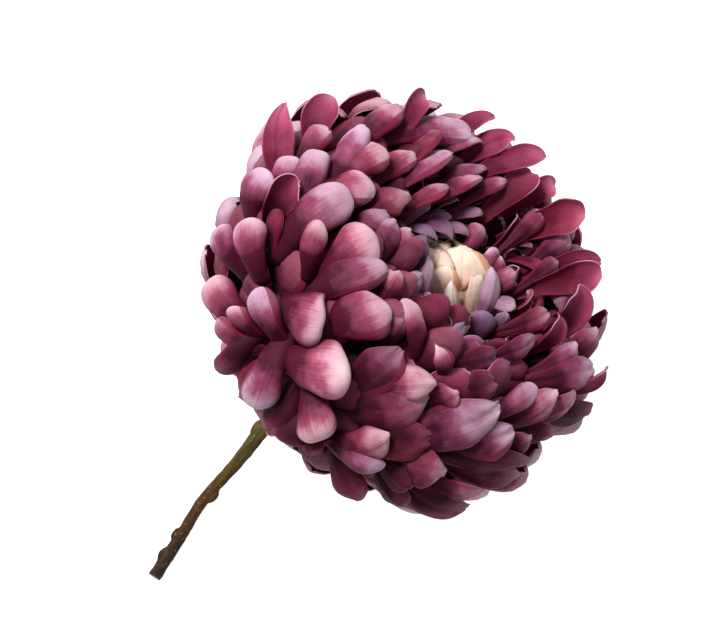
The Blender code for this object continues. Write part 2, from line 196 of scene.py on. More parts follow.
def bark_material():
    """Olive bark near the bloom that turns brown towards the cut, streaked along the stem."""
    made, tree, shader = new_material("bark")
    place = object_place(tree)
    heading = {"Vector": place, "Rotation": (0, math.radians(10), math.radians(-18))}
    turned = add_node(tree, "ShaderNodeMapping", heading).outputs[0]
    along = add_node(tree, "ShaderNodeSeparateXYZ", {0: turned}).outputs["X"]
    ends = {"Value": along, "From Min": -85 * MM, "From Max": -10 * MM}
    age = add_node(tree, "ShaderNodeMapRange", ends).outputs[0]
    fibres = {"Vector": turned, "Scale": (90, 1300, 1300)}
    streaks = noise(add_node(tree, "ShaderNodeMapping", fibres).outputs[0], 1, 5)
    ripeness = plus(age, times(noise(place, 160, 3), 0.35))
    ground = ramp_node(
        minus(ripeness, 0.17),
        [
            (0.0, (0.026, 0.009, 0.003)),
            (0.3, (0.06, 0.024, 0.004)),
            (0.6, (0.066, 0.044, 0.004)),
            (1.0, (0.12, 0.1, 0.006)),
        ],
    )
    shade = ramp_node(streaks, [(0.3, 0.35), (0.62, 1.15)])
    colour = mixed(1.0, ground, shade, "MULTIPLY")
    cells = {"Vector": turned, "Scale": 520, "Randomness": 1.0}
    specks = add_node(tree, "ShaderNodeTexVoronoi", cells).outputs["Distance"]
    lenticels = ramp_node(specks, [(0.1, 1.0), (0.17, 0.0)])
    looks = {
        "Base Color": mixed(times(lenticels, 0.5), colour, (0.3, 0.22, 0.11, 1)),
        "Roughness": ramp_node(streaks, [(0.3, 0.75), (0.7, 0.5)]),
        "Specular IOR Level": 0.2,
        "Normal": bumped(streaks, 0.6, 0.3 * MM),
    }
    set_inputs(shader, looks)
    return made


def cut_wood_material():
    """The cut face: pale wood rings round a soft pith, browned at its edge."""
    made, tree, shader = new_material("cut_wood")
    place = object_place(tree)
    pair = {0: place, 1: tuple(STEM_CUT_AT)}
    offset = add_node(tree, "ShaderNodeVectorMath", pair, operation="SUBTRACT").outputs[0]
    out = add_node(tree, "ShaderNodeVectorMath", {0: offset}, operation="LENGTH").outputs["Value"]
    fibre = noise(place, 1800)
    share = plus(math_node("DIVIDE", out, CUT_RADIUS), times(fibre, 0.2))
    rings = [
        (0.25, (0.46, 0.4, 0.26)),
        (0.42, (0.3, 0.22, 0.11)),
        (0.85, (0.34, 0.27, 0.14)),
        (1.0, (0.1, 0.06, 0.03)),
    ]
    looks = {
        "Base Color": ramp_node(share, rings),
        "Roughness": 0.8,
        "Normal": bumped(fibre, 0.5, 0.2 * MM),
    }
    set_inputs(shader, looks)
    return made


def woody_stem():
    deselect_all()
    bpy.ops.curve.primitive_bezier_curve_add()
    shoot = bpy.context.object
    line = shoot.data.splines[0]
    line.bezier_points.add(len(STEM_ROUTE) - 2)
    for point, (place, radius) in zip(line.bezier_points, STEM_ROUTE):
        point.co = Vector(place) * MM
        point.radius = radius
        point.handle_left_type = point.handle_right_type = "AUTO"
    line.resolution_u = 10
    shoot.data.bevel_depth = 1 * MM
    shoot.data.bevel_resolution = 6
    shoot.data.use_fill_caps = True
    bpy.ops.object.convert(target="MESH")
    bumps = [bpy.context.object]
    for place, size in LEAF_SCARS:
        deselect_all()
        bpy.ops.mesh.primitive_ico_sphere_add(
            subdivisions=3,
            radius=size * MM,
            location=Vector(place) * MM,
            rotation=(0, 0, STEM_HEADING),
            scale=SCAR_STRETCH,
        )
        bumps.append(bpy.context.object)
    stem = joined("woody_stem", bumps)
    bpy.ops.object.transform_apply(location=True, rotation=True, scale=True)
    apply_modifier(stem, "REMESH", mode="VOXEL", voxel_size=BARK_VOXEL)
    apply_modifier(stem, "SMOOTH", factor=0.6, iterations=5)
    knots = bpy.data.textures.new("knots", "CLOUDS")
    knots.noise_scale = KNOT_SIZE
    apply_modifier(stem, "DISPLACE", texture=knots, texture_coords="GLOBAL", strength=KNOT_HEIGHT)
    stem.data.materials.clear()
    stem.data.materials.append(bark_material())
    stem.data.materials.append(cut_wood_material())
    bpy.ops.object.mode_set(mode="EDIT")
    bpy.ops.mesh.select_all(action="SELECT")
    bpy.ops.mesh.bisect(
        plane_co=STEM_CUT_AT, plane_no=STEM_CUT_FACING, use_fill=True, clear_outer=True
    )
    stem.active_material_index = 1
    bpy.ops.object.material_slot_assign()
    bpy.ops.mesh.inset(thickness=RIND, depth=-PITH_DEPTH)
    bpy.ops.object.mode_set(mode="OBJECT")
    bpy.ops.object.shade_smooth_by_angle(angle=math.radians(50))
    kept_above_floor(stem)
    return stem


stem = woody_stem()
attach(stem, "root")
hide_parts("stem")


# Florets in general: each is one thin, rolled petal. A few patterns are shaped flat on the
# bench, one unit long, and every petal is a copy that is laid along its own middle line. The
# patterns for the petals that lie in front have a finer grid than those of the hundreds behind.
COARSE_GRID = (8, 11)
FINE_GRID = (14, 22)
TIP_CROWDING = 1.5
TIP_WIDTH = 0.015
HEAD_CENTRE = Vector((31.2, -1.0, 56.5)) * MM
FACE_TILT = math.radians(45)
HEAD_TURN = Matrix.Rotation(math.pi / 2 - FACE_TILT, 4, "Y")
HEAD_PLACE = Matrix.Translation(HEAD_CENTRE) @ HEAD_TURN
GOLDEN_ANGLE = math.pi * (3 - math.sqrt(5))
PETAL_THICKNESS = 0.35 * MM
COMBED_WAY = np.array(Vector((1, 0, 0.05)).normalized())
COMB_REACH = 18 * MM
FOLD_SIZE = 6 * MM

# Shares of a pattern's half width: how far its keel reaches from the middle, and where its
# turned-out rim begins.
KEEL_REACH = 0.15
RIM_FROM = 0.8


def mix(a, b, share):
    return a + (b - a) * share


def blade_width(y, claw, point, widest, taper):
    """The share of its full width that a petal has at y, from its claw to its tip."""
    if y < widest:
        rise = y / widest
        return mix(claw, 1, rise * rise * (3 - 2 * rise))
    return max(TIP_WIDTH, (1 - ((y - widest) / (1 - widest)) ** point)) ** taper


def petal_pattern(
    name, grid, roll, depth, hood, claw=0.35, point=2.0, widest=0.7, taper=0.5, keel=0.0, rim=0.0
):
    """A petal on the bench: 1 long on Y and 1 half wide, its back up and its edges rolled down.

    roll is how far round its edges go and depth how deep they lie, hood how far its tip
    closes, taper how pointed it is, keel a ridge along its back and rim how far its rim turns
    out again.
    """
    columns, rows = grid
    roll = math.radians(roll)
    upright = math.pi / 2
    deselect_all()
    bpy.ops.mesh.primitive_grid_add(
        x_subdivisions=columns,
        y_subdivisions=rows,
        size=1,
        location=(0, 0, 0.5),
        rotation=(upright, 0, 0),
    )
    blade = bpy.context.object
    blade.name = name
    bpy.ops.object.transform_apply(location=True, rotation=True)
    apply_modifier(blade, "SIMPLE_DEFORM", deform_method="BEND", deform_axis="Z", angle=roll)
    blade.rotation_euler.x = -upright
    bpy.ops.object.transform_apply(rotation=True)
    bpy.ops.object.mode_set(mode="EDIT")
    bpy.ops.mesh.select_all(action="SELECT")
    reach = math.sin(min(roll / 2, math.pi / 2)) / roll
    bpy.ops.transform.resize(value=(1 / reach, 1, depth / reach), center_override=(0, 0, 0))
    for row in reversed(range(rows + 1)):
        even = row / rows
        select_points(blade, lambda co: abs(co.y - even) < 0.3 / rows)
        y = 1 - (1 - even) ** TIP_CROWDING
        width = blade_width(y, claw, point, widest, taper)
        closing = max(0, (y - widest) / (1 - widest))
        bpy.ops.transform.translate(value=(0, y - even, 0))
        bpy.ops.transform.resize(value=(width, 1, width), center_override=(0, y, -hood * closing))
    if keel:
        select_points(blade, lambda co: abs(co.x) < KEEL_REACH and co.z > -0.5)
        bpy.ops.transform.translate(value=(0, 0, keel))
    if rim:

        def on_rim(co):
            width = blade_width(co.y, claw, point, widest, taper)
            return co.y > 0.5 and abs(co.x) > RIM_FROM * width

        select_points(blade, on_rim)
        bpy.ops.transform.translate(value=(0, 0, rim))
    bpy.ops.object.mode_set(mode="OBJECT")
    return blade


CAPSULE = petal_pattern("capsule", COARSE_GRID, 190, 0.75, 0.7, claw=0.45, point=2.4)
SPOON = petal_pattern("spoon", COARSE_GRID, 165, 0.75, 0.55, keel=0.04)
KEEL = petal_pattern("keel", COARSE_GRID, 185, 0.75, 0.4, point=1.7, keel=0.12)
FLARE = petal_pattern("flare", COARSE_GRID, 120, 0.8, 0.1, rim=0.08)
BEAN = petal_pattern("bean", FINE_GRID, 190, 0.72, 0.8, 0.5, point=2.2, widest=0.64)
BOAT = petal_pattern("boat", FINE_GRID, 170, 0.7, 0.5, 0.4, 1.6, 0.6, taper=0.7, keel=0.1)
SHELL = petal_pattern("shell", FINE_GRID, 150, 0.9, 0.5, 0.5, 2.0, rim=0.07)
LOBE = petal_pattern("lobe", FINE_GRID, 140, 0.65, 0.3, 0.45, 1.8, 0.62, taper=0.6)
BLADE = petal_pattern("blade", FINE_GRID, 120, 0.55, 0.3, 0.4, 1.5, 0.55, taper=0.85, keel=0.1)
LEAF = petal_pattern("leaf", FINE_GRID, 110, 0.5, 0.2, 0.45, 1.4, 0.58, taper=0.75, keel=-0.08)
WRAP = petal_pattern("wrap", FINE_GRID, 125, 0.6, 0.4, 0.75, 1.8, 0.6, taper=0.6, keel=0.06)
PATTERNS = [CAPSULE, SPOON, KEEL, FLARE, BEAN, BOAT, SHELL, LOBE, BLADE, LEAF, WRAP]


def spread(draw, degrees):
    """An angle drawn up to this many degrees to either side."""
    return math.radians(draw.uniform(-degrees, degrees))


def row_turn(number, row, count, jitter=0.0):
    """The turn of one petal of a row; each row stands in the gaps of the row before."""
    return 2 * math.pi * (number + row / 2 + jitter) / count


def raised(arc, offset):
    """A middle line given in millimetres, its root kept and the rest moved by the offset."""
    return [Vector(arc[0]) * MM] + [(Vector(point) + offset) * MM for point in arc[1:]]


def about_axis(arc, turn):
    """A middle line of (radius, height) points, turned about the flower's axis, and its across."""
    outward = Vector((math.cos(turn), math.sin(turn), 0))
    up = Vector((0, 0, 1))
    points = [HEAD_PLACE @ (outward * radius + up * height) for radius, height in arc]
    across = HEAD_TURN.to_3x3() @ Vector((-math.sin(turn), math.cos(turn), 0))
    return points, across


def toned(obj, tone):
    """Gives obj the tone that its petal material reads."""
    values = obj.data.attributes.new("tone", "FLOAT", "POINT").data
    values.foreach_set("value", np.full(len(values), tone, np.float32))


def laid(pattern, line, half_width, tone, twist=0.0, sway=0.0, comb=0.0, roll=0.0):
    """A copy of a pattern, laid along a line: four points of a Bezier curve, and its across.

    twist and roll turn the petal about its middle line, sway bends it sideways, and comb is how
    far its tip is turned the way that the flower's weight lays the petals.
    """
    petal = pattern.copy()
    petal.data = pattern.data.copy()
    bpy.context.scene.collection.objects.link(petal)
    count = len(petal.data.vertices)
    bench = np.empty(count * 3, np.float32)
    petal.data.vertices.foreach_get("co", bench)
    x, t, z = bench.reshape(-1, 3).T.astype(float)[:, :, None]
    u = 1 - t
    a, b, c, d = [np.array(point) for point in line[0]]
    across = np.array(line[1])
    tip_way = (d - c) / np.linalg.norm(d - c)
    wanted = tip_way * (1 - comb) + COMBED_WAY * comb
    bend = (wanted / np.linalg.norm(wanted) - tip_way) * COMB_REACH + across * sway * half_width
    centre = a * u**3 + b * (3 * u * u * t) + c * (3 * u * t * t) + d * t**3
    centre = centre + bend * (t * t - 0.5)
    way = 3 * ((b - a) * (u * u) + (c - b) * (2 * u * t) + (d - c) * (t * t)) + bend * 2 * t
    way = way / np.linalg.norm(way, axis=1, keepdims=True)
    side = across - way * (way @ across)[:, None]
    side = side / np.linalg.norm(side, axis=1, keepdims=True)
    facing = np.cross(side, way)
    angle = roll + twist * t
    turned_side = side * np.cos(angle) + facing * np.sin(angle)
    turned_facing = facing * np.cos(angle) - side * np.sin(angle)
    points = centre + (turned_side * x + turned_facing * z) * half_width
    petal.data.vertices.foreach_set("co", points.astype(np.float32).ravel())
    toned(petal, tone)
    return petal


def petal_piece(name, petals, materials, ripple):
    """Joins laid petals into one piece, ripples them and gives them their thickness."""
    piece = joined(name, petals)
    piece.data.materials.clear()
    for finish in materials:
        piece.data.materials.append(finish)
    folds = bpy.data.textures.new(name + "_folds", "CLOUDS")
    folds.noise_scale = FOLD_SIZE
    folds.noise_depth = 0
    apply_modifier(piece, "DISPLACE", texture=folds, texture_coords="GLOBAL", strength=2 * ripple)
    kept_above_floor(piece, PETAL_THICKNESS)
    skin = {"offset": -1, "material_offset": 1, "material_offset_rim": 1}
    apply_modifier(piece, "SOLIDIFY", thickness=PETAL_THICKNESS, **skin)
    deselect_all()
    piece.select_set(True)
    bpy.context.view_layer.objects.active = piece
    bpy.ops.object.shade_smooth()
    kept_above_floor(piece)
    return piece


def streak_group():
    """Fine veins along a petal and soft blotches over it, different on each petal."""
    group = bpy.data.node_groups.new("petal_streaks", "ShaderNodeTree")
    face = group.interface
    face.new_socket("Fineness", in_out="INPUT", socket_type="NodeSocketFloat")
    for name in ("Along", "Across", "Tone", "Veins", "Blotches"):
        face.new_socket(name, in_out="OUTPUT", socket_type="NodeSocketFloat")
    given = group.nodes.new("NodeGroupInput")
    result = group.nodes.new("NodeGroupOutput")
    uv = add_node(group, "ShaderNodeUVMap", uv_map="UVMap").outputs[0]
    tone = add_node(group, "ShaderNodeAttribute", attribute_name="tone").outputs["Fac"]
    across, along = add_node(group, "ShaderNodeSeparateXYZ", {0: uv}).outputs[:2]
    shift = {0: times(across, given.outputs[0]), 1: times(along, 1.3), 2: times(tone, 40.0)}
    shifted = add_node(group, "ShaderNodeCombineXYZ", shift).outputs[0]
    veins = noise(shifted, 1, 4, Roughness=0.6, Distortion=0.3)
    blotches = noise(object_place(group), 140, 3)
    for socket, source in zip(result.inputs, (along, across, tone, veins, blotches)):
        group.links.new(source, socket)
    return group


STREAKS = streak_group()


def petal_material(name, dark, pale, rim, rim_share, side, side_tint_and_shade_share, fineness=52.0, rough=0.6):
    """A petal's skin from claw to tip, between a dark and a pale run of colours by its tone.

    Its run darkens to near-black at the claw: the claw's own wine, and painted shade where the
    claws sink between petals. Its rolled sides turn to the side colour, which is the crimson of
    the turned edges and painted shade on the sides that roll away. Some petals have one sharply
    darker side, the rim is pale and fine veins run along it.
    """
    made, tree, shader = new_material(name)
    group = add_node(tree, "ShaderNodeGroup", node_tree=STREAKS)
    group.inputs["Fineness"].default_value = fineness
    along, across, tone, veins, blotches = group.outputs[:5]
    cloudy = times(minus(blotches, 0.5), 0.5)
    streaky = times(minus(veins, 0.5), 0.14)
    shyness = times(minus(tone, 1.0), 0.12)
    # From claw to tip; the near-black claw end is the claw's wine plus painted shade between
    # petals.
    place = plus(plus(plus(along, cloudy), streaky), shyness)
    colour = mixed(tone, ramp_node(place, dark), ramp_node(place, pale))
    off_middle = math_node("ABSOLUTE", minus(across, 0.5))
    # Rolled sides: crimson of the turned edges, and painted shade where the sides roll away.
    rolled = ramp_node(plus(off_middle, times(cloudy, 0.3)), [(0.3, 0.0), (0.46, 0.8)])
    one_side = ramp_node(plus(across, times(cloudy, 0.25)), [(0.76, 0.0), (0.79, 1.0)])
    odd = ramp_node(math_node("FRACT", times(tone, 7.0)), [(0.45, 0.0), (0.5, 1.0)])
    shaded = math_node("MAXIMUM", rolled, times(one_side, odd))
    colour = mixed(times(shaded, side_tint_and_shade_share), colour, (*side, 1))
    to_tip = ramp_node(along, [(0.95, 0.0), (0.98, 1.0)])
    to_edge = ramp_node(off_middle, [(0.475, 0.0), (0.495, 1.0)])
    above = ramp_node(along, [(0.35, 0.0), (0.6, 1.0)])
    edge = times(times(math_node("MAXIMUM", to_tip, to_edge), above), rim_share)
    colour = mixed(edge, colour, (*rim, 1))
    shade = ramp_node(veins, [(0.32, 0.84), (0.6, 1.03)])
    colour = mixed(0.5, colour, shade, "MULTIPLY")
    hue = math_node("FRACT", times(tone, 13.0))
    tint = ramp_node(hue, [(0.3, (1.0, 0.93, 0.9)), (0.7, (0.88, 0.92, 1.0))])
    looks = {
        "Base Color": mixed(1.0, colour, tint, "MULTIPLY"),
        "Roughness": plus(times(veins, 0.25), rough - 0.12),
        "Specular IOR Level": 0.1,
        "Subsurface Weight": 0.06,
        "Subsurface Radius": (1.0, 0.35, 0.4),
        "Subsurface Scale": 1.5 * MM,
        "Normal": bumped(plus(veins, times(blotches, 3.0)), 0.35, 0.3 * MM),
    }
    set_inputs(shader, looks)
    return made


# Calyx: the green cup that holds the head, turned from one profile, with three rows of small
# pointed bracts that have papery pale edges. The bloom hides it from the front.
CALYX_PROFILE = [(3.6, -40), (5.6, -38.6), (8.6, -35), (10.6, -31), (11.0, -27.4)]
CALYX_SIDES = 48
BRACT_ROWS = [(6.2, -35.4), (7.6, -32.5), (9.2, -29.0)]
BRACT_ROOT = (-1.2, -5)
BRACT_TIP = (2.4, 1.4)
BRACT_BULGE = (0.9 * MM, 0)
BRACTS_IN_A_ROW = 9
BRACT_HALF_WIDTH = 2.3 * MM
BRACT_JITTER = 0.08
BRACT_SEED = 11


def calyx():
    deselect_all()
    radius, height = CALYX_PROFILE[0]
    bpy.ops.mesh.primitive_circle_add(
        vertices=CALYX_SIDES, radius=radius * MM, location=(0, 0, height * MM), fill_type="NGON"
    )
    cup = bpy.context.object
    bpy.ops.object.mode_set(mode="EDIT")
    bpy.ops.mesh.select_all(action="SELECT")
    for (low_r, low_z), (high_r, high_z) in zip(CALYX_PROFILE, CALYX_PROFILE[1:]):
        rise = (0, 0, (high_z - low_z) * MM)
        bpy.ops.mesh.extrude_region_move(TRANSFORM_OT_translate={"value": rise})
        share = high_r / low_r
        bpy.ops.transform.resize(
            value=(share, share, 1), center_override=(0, 0, high_z * MM)
        )
    bpy.ops.mesh.select_all(action="SELECT")
    bpy.ops.mesh.normals_make_consistent(inside=False)
    bpy.ops.mesh.subdivide(number_cuts=1, smoothness=0)
    bpy.ops.object.mode_set(mode="OBJECT")
    bpy.ops.object.transform_apply(location=True)
    cup.data.transform(HEAD_PLACE)
    skin = petal_material(
        "calyx_skin",
        [(0.1, (0.02, 0.03, 0.007)), (0.6, (0.055, 0.075, 0.016)), (1.0, (0.1, 0.11, 0.03))],
        [(0.1, (0.04, 0.06, 0.013)), (0.6, (0.095, 0.125, 0.028)), (1.0, (0.18, 0.19, 0.06))],
        (0.34, 0.3, 0.16),
        0.8,
        (0.05, 0.03, 0.015),
        0.3,
        fineness=18.0,
    )
    bracts = []
    draw = random.Random(BRACT_SEED)
    for row, place in enumerate(BRACT_ROWS):
        root = (np.array(place) + BRACT_ROOT) * MM
        tip = (np.array(place) + BRACT_TIP) * MM
        arc = (root, mix(root, tip, 0.4), mix(root, tip, 0.7) + BRACT_BULGE, tip)
        for number in range(BRACTS_IN_A_ROW):
            jitter = draw.uniform(-BRACT_JITTER, BRACT_JITTER)
            line = about_axis(arc, row_turn(number, row, BRACTS_IN_A_ROW, jitter))
            bracts.append(laid(KEEL, line, BRACT_HALF_WIDTH, draw.random()))
    leaves = petal_piece("calyx_bracts", bracts, [skin, skin], ripple=0.1 * MM)
    toned(cup, 0.4)
    cup.data.materials.append(skin)
    made = joined("calyx_cup", [cup, leaves])
    bpy.ops.object.shade_smooth()
    return made


green_cup = calyx()
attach(green_cup, "root")
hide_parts("calyx")


# Bloom: a spiral of 157 large florets, each with a second one beside and beneath it, round a
# solid bed of their own claws, and those that the picture shows on top. They are dusty pink on
# the back, wine at the claw and crimson inside. Painted shade darkens them: near-black at the
# claws, the dark bed, the second florets beneath, the florets hidden under those on top and the
# right of the picture away from the lamp.
HEAD_RADIUS = 71 * MM
HEAD_HALF_DEPTH = 52 * MM
BACK_ANGLE = math.radians(136)
SHOULDER_ANGLE = math.radians(46)
HOLLOW = [(38 * MM, 39 * MM), (29 * MM, 37.5 * MM), (21.5 * MM, 33.5 * MM)]
CORE_RADIUS = 42 * MM
CORE_HALF_DEPTH = 30 * MM
CORE_TOP = 8 * MM
CORE_BOTTOM = -27 * MM
BOWL_RADIUS = 55 * MM
BOWL_HALF_DEPTH = 38 * MM
BOWL_TOP = 24 * MM
BOWL_BOTTOM = -10 * MM
BOWL_THROAT = 33 * MM
SEAT_RADIUS = 14 * MM
BALL_SPACING = 19.0 * MM
HOLLOW_SPACING = 9.5 * MM
BALL_HALF_WIDTH = 7.5 * MM
HOLLOW_HALF_WIDTH = 4.2 * MM
SMALLER_FROM = 0.68
FLORET_SEED = 30
ROOT_BEHIND = 0.1
ROOT_SINK = 3 * MM
BALL_REACH = 30 * MM
HOLLOW_REACH = 12 * MM
BULGE = 5.5 * MM
TIP_TUCK = 2.5 * MM
BALL_LEAN = math.radians(31)
BACK_LEAN = math.radians(38)
BACK_LEAN_TO = 0.25
HOLLOW_LEAN = math.radians(6)
LOOKS_SEED = 8
PETAL_FULLNESS = 1.12
# Painted shade away from the lamp: the share of tone that petals keep on the right of the picture.
RIGHT_SIDE_PAINTED_SHADE = 0.9
FRONT_LOWERED = 3.0 * MM
# Painted shade: spiral florets hidden under the petals in front keep only this share of their tone.
HIDDEN_PETALS_PAINTED_SHADE = 0.12

# The spread of the florets' lift in millimetres, and of their lean, twist and turn in degrees.
LIFT_SPREAD = 2.5
LEAN_SPREAD = 10
TWIST_SPREAD = 22
ASIDE_SPREAD = 3
WIDTH_RANGE = (0.92, 1.06)
SWAY_SPREAD = 0.35
TONE_RANGE = (0.15, 0.95)
SPIRAL_RIPPLE = 0.5 * MM

# The second floret of a place: nearer the face by a share of the spacing less SECOND_BACK,
# lower, a step to either side and darker, as painted shade for lying beneath the others.
SECOND_GAP_RANGE = (0.35, 0.65)
SECOND_BACK = 3 * MM
SECOND_BELOW = 4.5 * MM
SECOND_ASIDE = math.pi / 13
SECOND_PAINTED_SHADE = 0.5

# Combing is least on the lower side and most on the upper. It begins at this share of the way
# from back to face, and is full after this much more.
COMBING = (0.12, 0.55)
COMBED_FROM = 0.1
COMBED_OVER = 0.3

# Florets make room for the petals in front once their outward way rises by more than this, and
# do so fully after this much more.
FACING_UP_FROM = 0.15
FACING_UP_OVER = 0.4

# The small petals' strays from even steps, as a share of a step, their twist in degrees, their
# moves outwards and up in millimetres, and their widths, tones and sway.
SMALL_JITTER = 0.25
SMALL_TWIST_SPREAD = 25
SMALL_OUTWARDS = (-1.0, 1.0)
SMALL_UPWARDS = (-3.0, 2.0)
SMALL_WIDTH_RANGE = (0.8, 1.15)
SMALL_TONE_RANGE = (0.05, 0.45)
SMALL_SWAY_RANGE = (-0.5, 0.5)

# Rows of small petals, as middle lines in millimetres, half width, count and share from back
# to face: three fill the throat between the shoulder and the inner florets, and two lie flat
# round the calyx.
SMALL_ROWS = [
    ([(17.5, 7), (19.0, 13), (21.5, 21), (18.5, 26)], 3.4 * MM, 15, 1.0),
    ([(20.0, 7), (22.5, 14), (26.0, 23), (22.0, 29)], 3.9 * MM, 17, 1.0),
    ([(23.0, 7), (27.0, 15), (31.5, 25), (28.0, 32)], 4.4 * MM, 18, 1.0),
    ([(10.0, -27), (19.0, -30), (29.0, -33.5), (37.0, -34)], 6.0 * MM, 13, 0.0),
    ([(8.0, -27.5), (14.0, -31), (22.0, -34), (28.0, -34.5)], 5.0 * MM, 11, 0.0),
]

# The picture: the camera hangs straight above the flower, and its upper edge is turned from
# the stem's line. Spots in it are pixels of a picture 716 wide and 622 high.
CAMERA_HEIGHT = 0.75
PIXEL = 0.31 * MM
PICTURE_WIDTH = 716
PICTURE_MIDDLE = Vector((358, 311))
HEAD_IN_PICTURE = Vector((403, 300))
ROLL = math.radians(35)
IMAGE_RIGHT = Vector((math.cos(ROLL), -math.sin(ROLL), 0))
IMAGE_UP = Vector((math.sin(ROLL), math.cos(ROLL), 0))
CAMERA_SHIFT = (PICTURE_MIDDLE - HEAD_IN_PICTURE) * PIXEL
CAMERA_SEAT = Vector((HEAD_CENTRE.x, HEAD_CENTRE.y, CAMERA_HEIGHT))
CAMERA_SEAT += IMAGE_RIGHT * CAMERA_SHIFT.x - IMAGE_UP * CAMERA_SHIFT.y

# An egg about the flower's axis, cut off flat at its top: radius, half height, middle height
# and top height.
HEAD_EGG = (HEAD_RADIUS, HEAD_HALF_DEPTH, 0, 38 * MM)
THROAT_EGG = (HEAD_RADIUS, HEAD_HALF_DEPTH, 0, 33 * MM)

# How a petal in front rises along its length: its share of the way from where it comes into
# sight to its tip, and its height above the egg.
FRONT_RISE = [(-0.35, -12), (0.05, -2), (0.65, 3), (1.0, -1)]
FRONT_FULLNESS = 1.15
FRONT_SWAY = 0.6
FRONT_TWIST = 0.35
FRONT_RIPPLE = 0.6 * MM

# Petals in front that are rolled over by this much show their insides, and stand out of the
# head: they fall away from their roots by this share less than the egg does.
STANDING_ROLL = 140
STANDING = 0.7

# The petals in front, as they lie in the picture: where each comes into sight and its tip in
# pixels, half width in millimetres, tone and, where they aren't 0, height above the egg in
# millimetres and roll in degrees. The tones hold each petal's own lightness and painted shade
# as well: the low tones of petals lying in the gaps and on the lower right are partly painted
# shade.
UPPER_LEFT = [
    (BLADE, (278, 166), (281, 104), 4.2, 0.75, 0, 150),
    (LOBE, (311, 132), (332, 99), 4.8, 0.45, 0, 165),
    (BOAT, (366, 124), (402, 99), 4.6, 0.8, 0, 20),
    (BEAN, (298, 148), (331, 122), 4.0, 0.8, 1),
    (BOAT, (325, 160), (369, 120), 4.4, 0.9, 0, 10),
    (BEAN, (295, 195), (324, 144), 4.2, 0.75, 1, -10),
    (BEAN, (279, 185), (294, 149), 3.9, 0.9, 0, -20),
    (BEAN, (240, 203), (270, 165), 5.0, 0.92, 1, -20),
    (SHELL, (266, 212), (292, 178), 4.4, 0.2, -1, 140),
    (BEAN, (284, 238), (354, 186), 5.8, 0.74, 2.5),
    (BEAN, (322, 186), (381, 184), 4.8, 0.95, 1),
    (BEAN, (346, 163), (389, 147), 5.0, 0.85, 1.5),
    (BEAN, (330, 262), (387, 239), 6.6, 1.0, 2.5),
    (BEAN, (305, 262), (331, 224), 3.6, 0.85, 1, -30),
    (BEAN, (322, 290), (386, 253), 5.6, 0.66, 2),
    (BOAT, (386, 296), (400, 267), 3.2, 0.7, 1),
    (BEAN, (242, 264), (250, 213), 5.0, 0.88, 2),
    (BEAN, (213, 266), (214, 222), 4.8, 0.92),
    (BEAN, (228, 318), (203, 276), 5.2, 0.78, 1),
    (BOAT, (372, 205), (413, 190), 4.2, 0.62),
    (BOAT, (380, 250), (398, 214), 3.8, 0.6),
    (BOAT, (398, 256), (413, 222), 2.8, 0.72, -1),
    (BOAT, (250, 240), (276, 200), 4.0, 0.1, -2, 20),
    (BOAT, (380, 160), (420, 148), 4.0, 0.85, -1),
    (BOAT, (350, 215), (395, 205), 4.0, 0.6, -2),
]
LOWER_LEFT = [
    (BEAN, (240, 352), (209, 322), 3.2, 0.55),
    (BEAN, (262, 340), (257, 284), 4.6, 0.84, 2),
    (BEAN, (238, 337), (233, 300), 3.0, 0.8, 1),
    (BEAN, (280, 303), (331, 320), 6.8, 0.88, 2),
    (BEAN, (330, 322), (394, 299), 7.0, 0.8, 2),
    (BEAN, (286, 366), (357, 368), 7.4, 1.0, 3.5),
    (BEAN, (266, 348), (256, 416), 5.2, 0.82, 2),
    (SHELL, (242, 346), (222, 380), 3.8, 0.15, 0, 40),
    (BEAN, (297, 398), (328, 446), 5.2, 0.86, 2),
    (BOAT, (338, 453), (395, 438), 4.6, 0.78, 1),
    (BOAT, (326, 458), (387, 474), 4.4, 0.68, 0.5),
    (BOAT, (332, 474), (362, 507), 4.8, 0.25),
    (BEAN, (284, 424), (281, 447), 4.8, 0.15),
    (BOAT, (306, 440), (318, 461), 4.4, 0.12, -1),
    (BOAT, (252, 366), (238, 404), 4.0, 0.25, -1),
    (BOAT, (272, 400), (262, 440), 5.0, 0.1, -1),
    (LEAF, (350, 384), (408, 352), 6.0, 0.22),
    (BOAT, (372, 392), (440, 377), 4.8, 0.86, 1.5),
    (LEAF, (356, 412), (436, 402), 7.0, 0.48),
    (BOAT, (372, 345), (392, 315), 4.0, 0.15, -2),
    (BOAT, (390, 345), (408, 312), 3.4, 0.35, -1),
    (BOAT, (388, 293), (396, 268), 2.8, 0.55),
    (BOAT, (380, 480), (420, 492), 5.0, 0.1, -1),
]
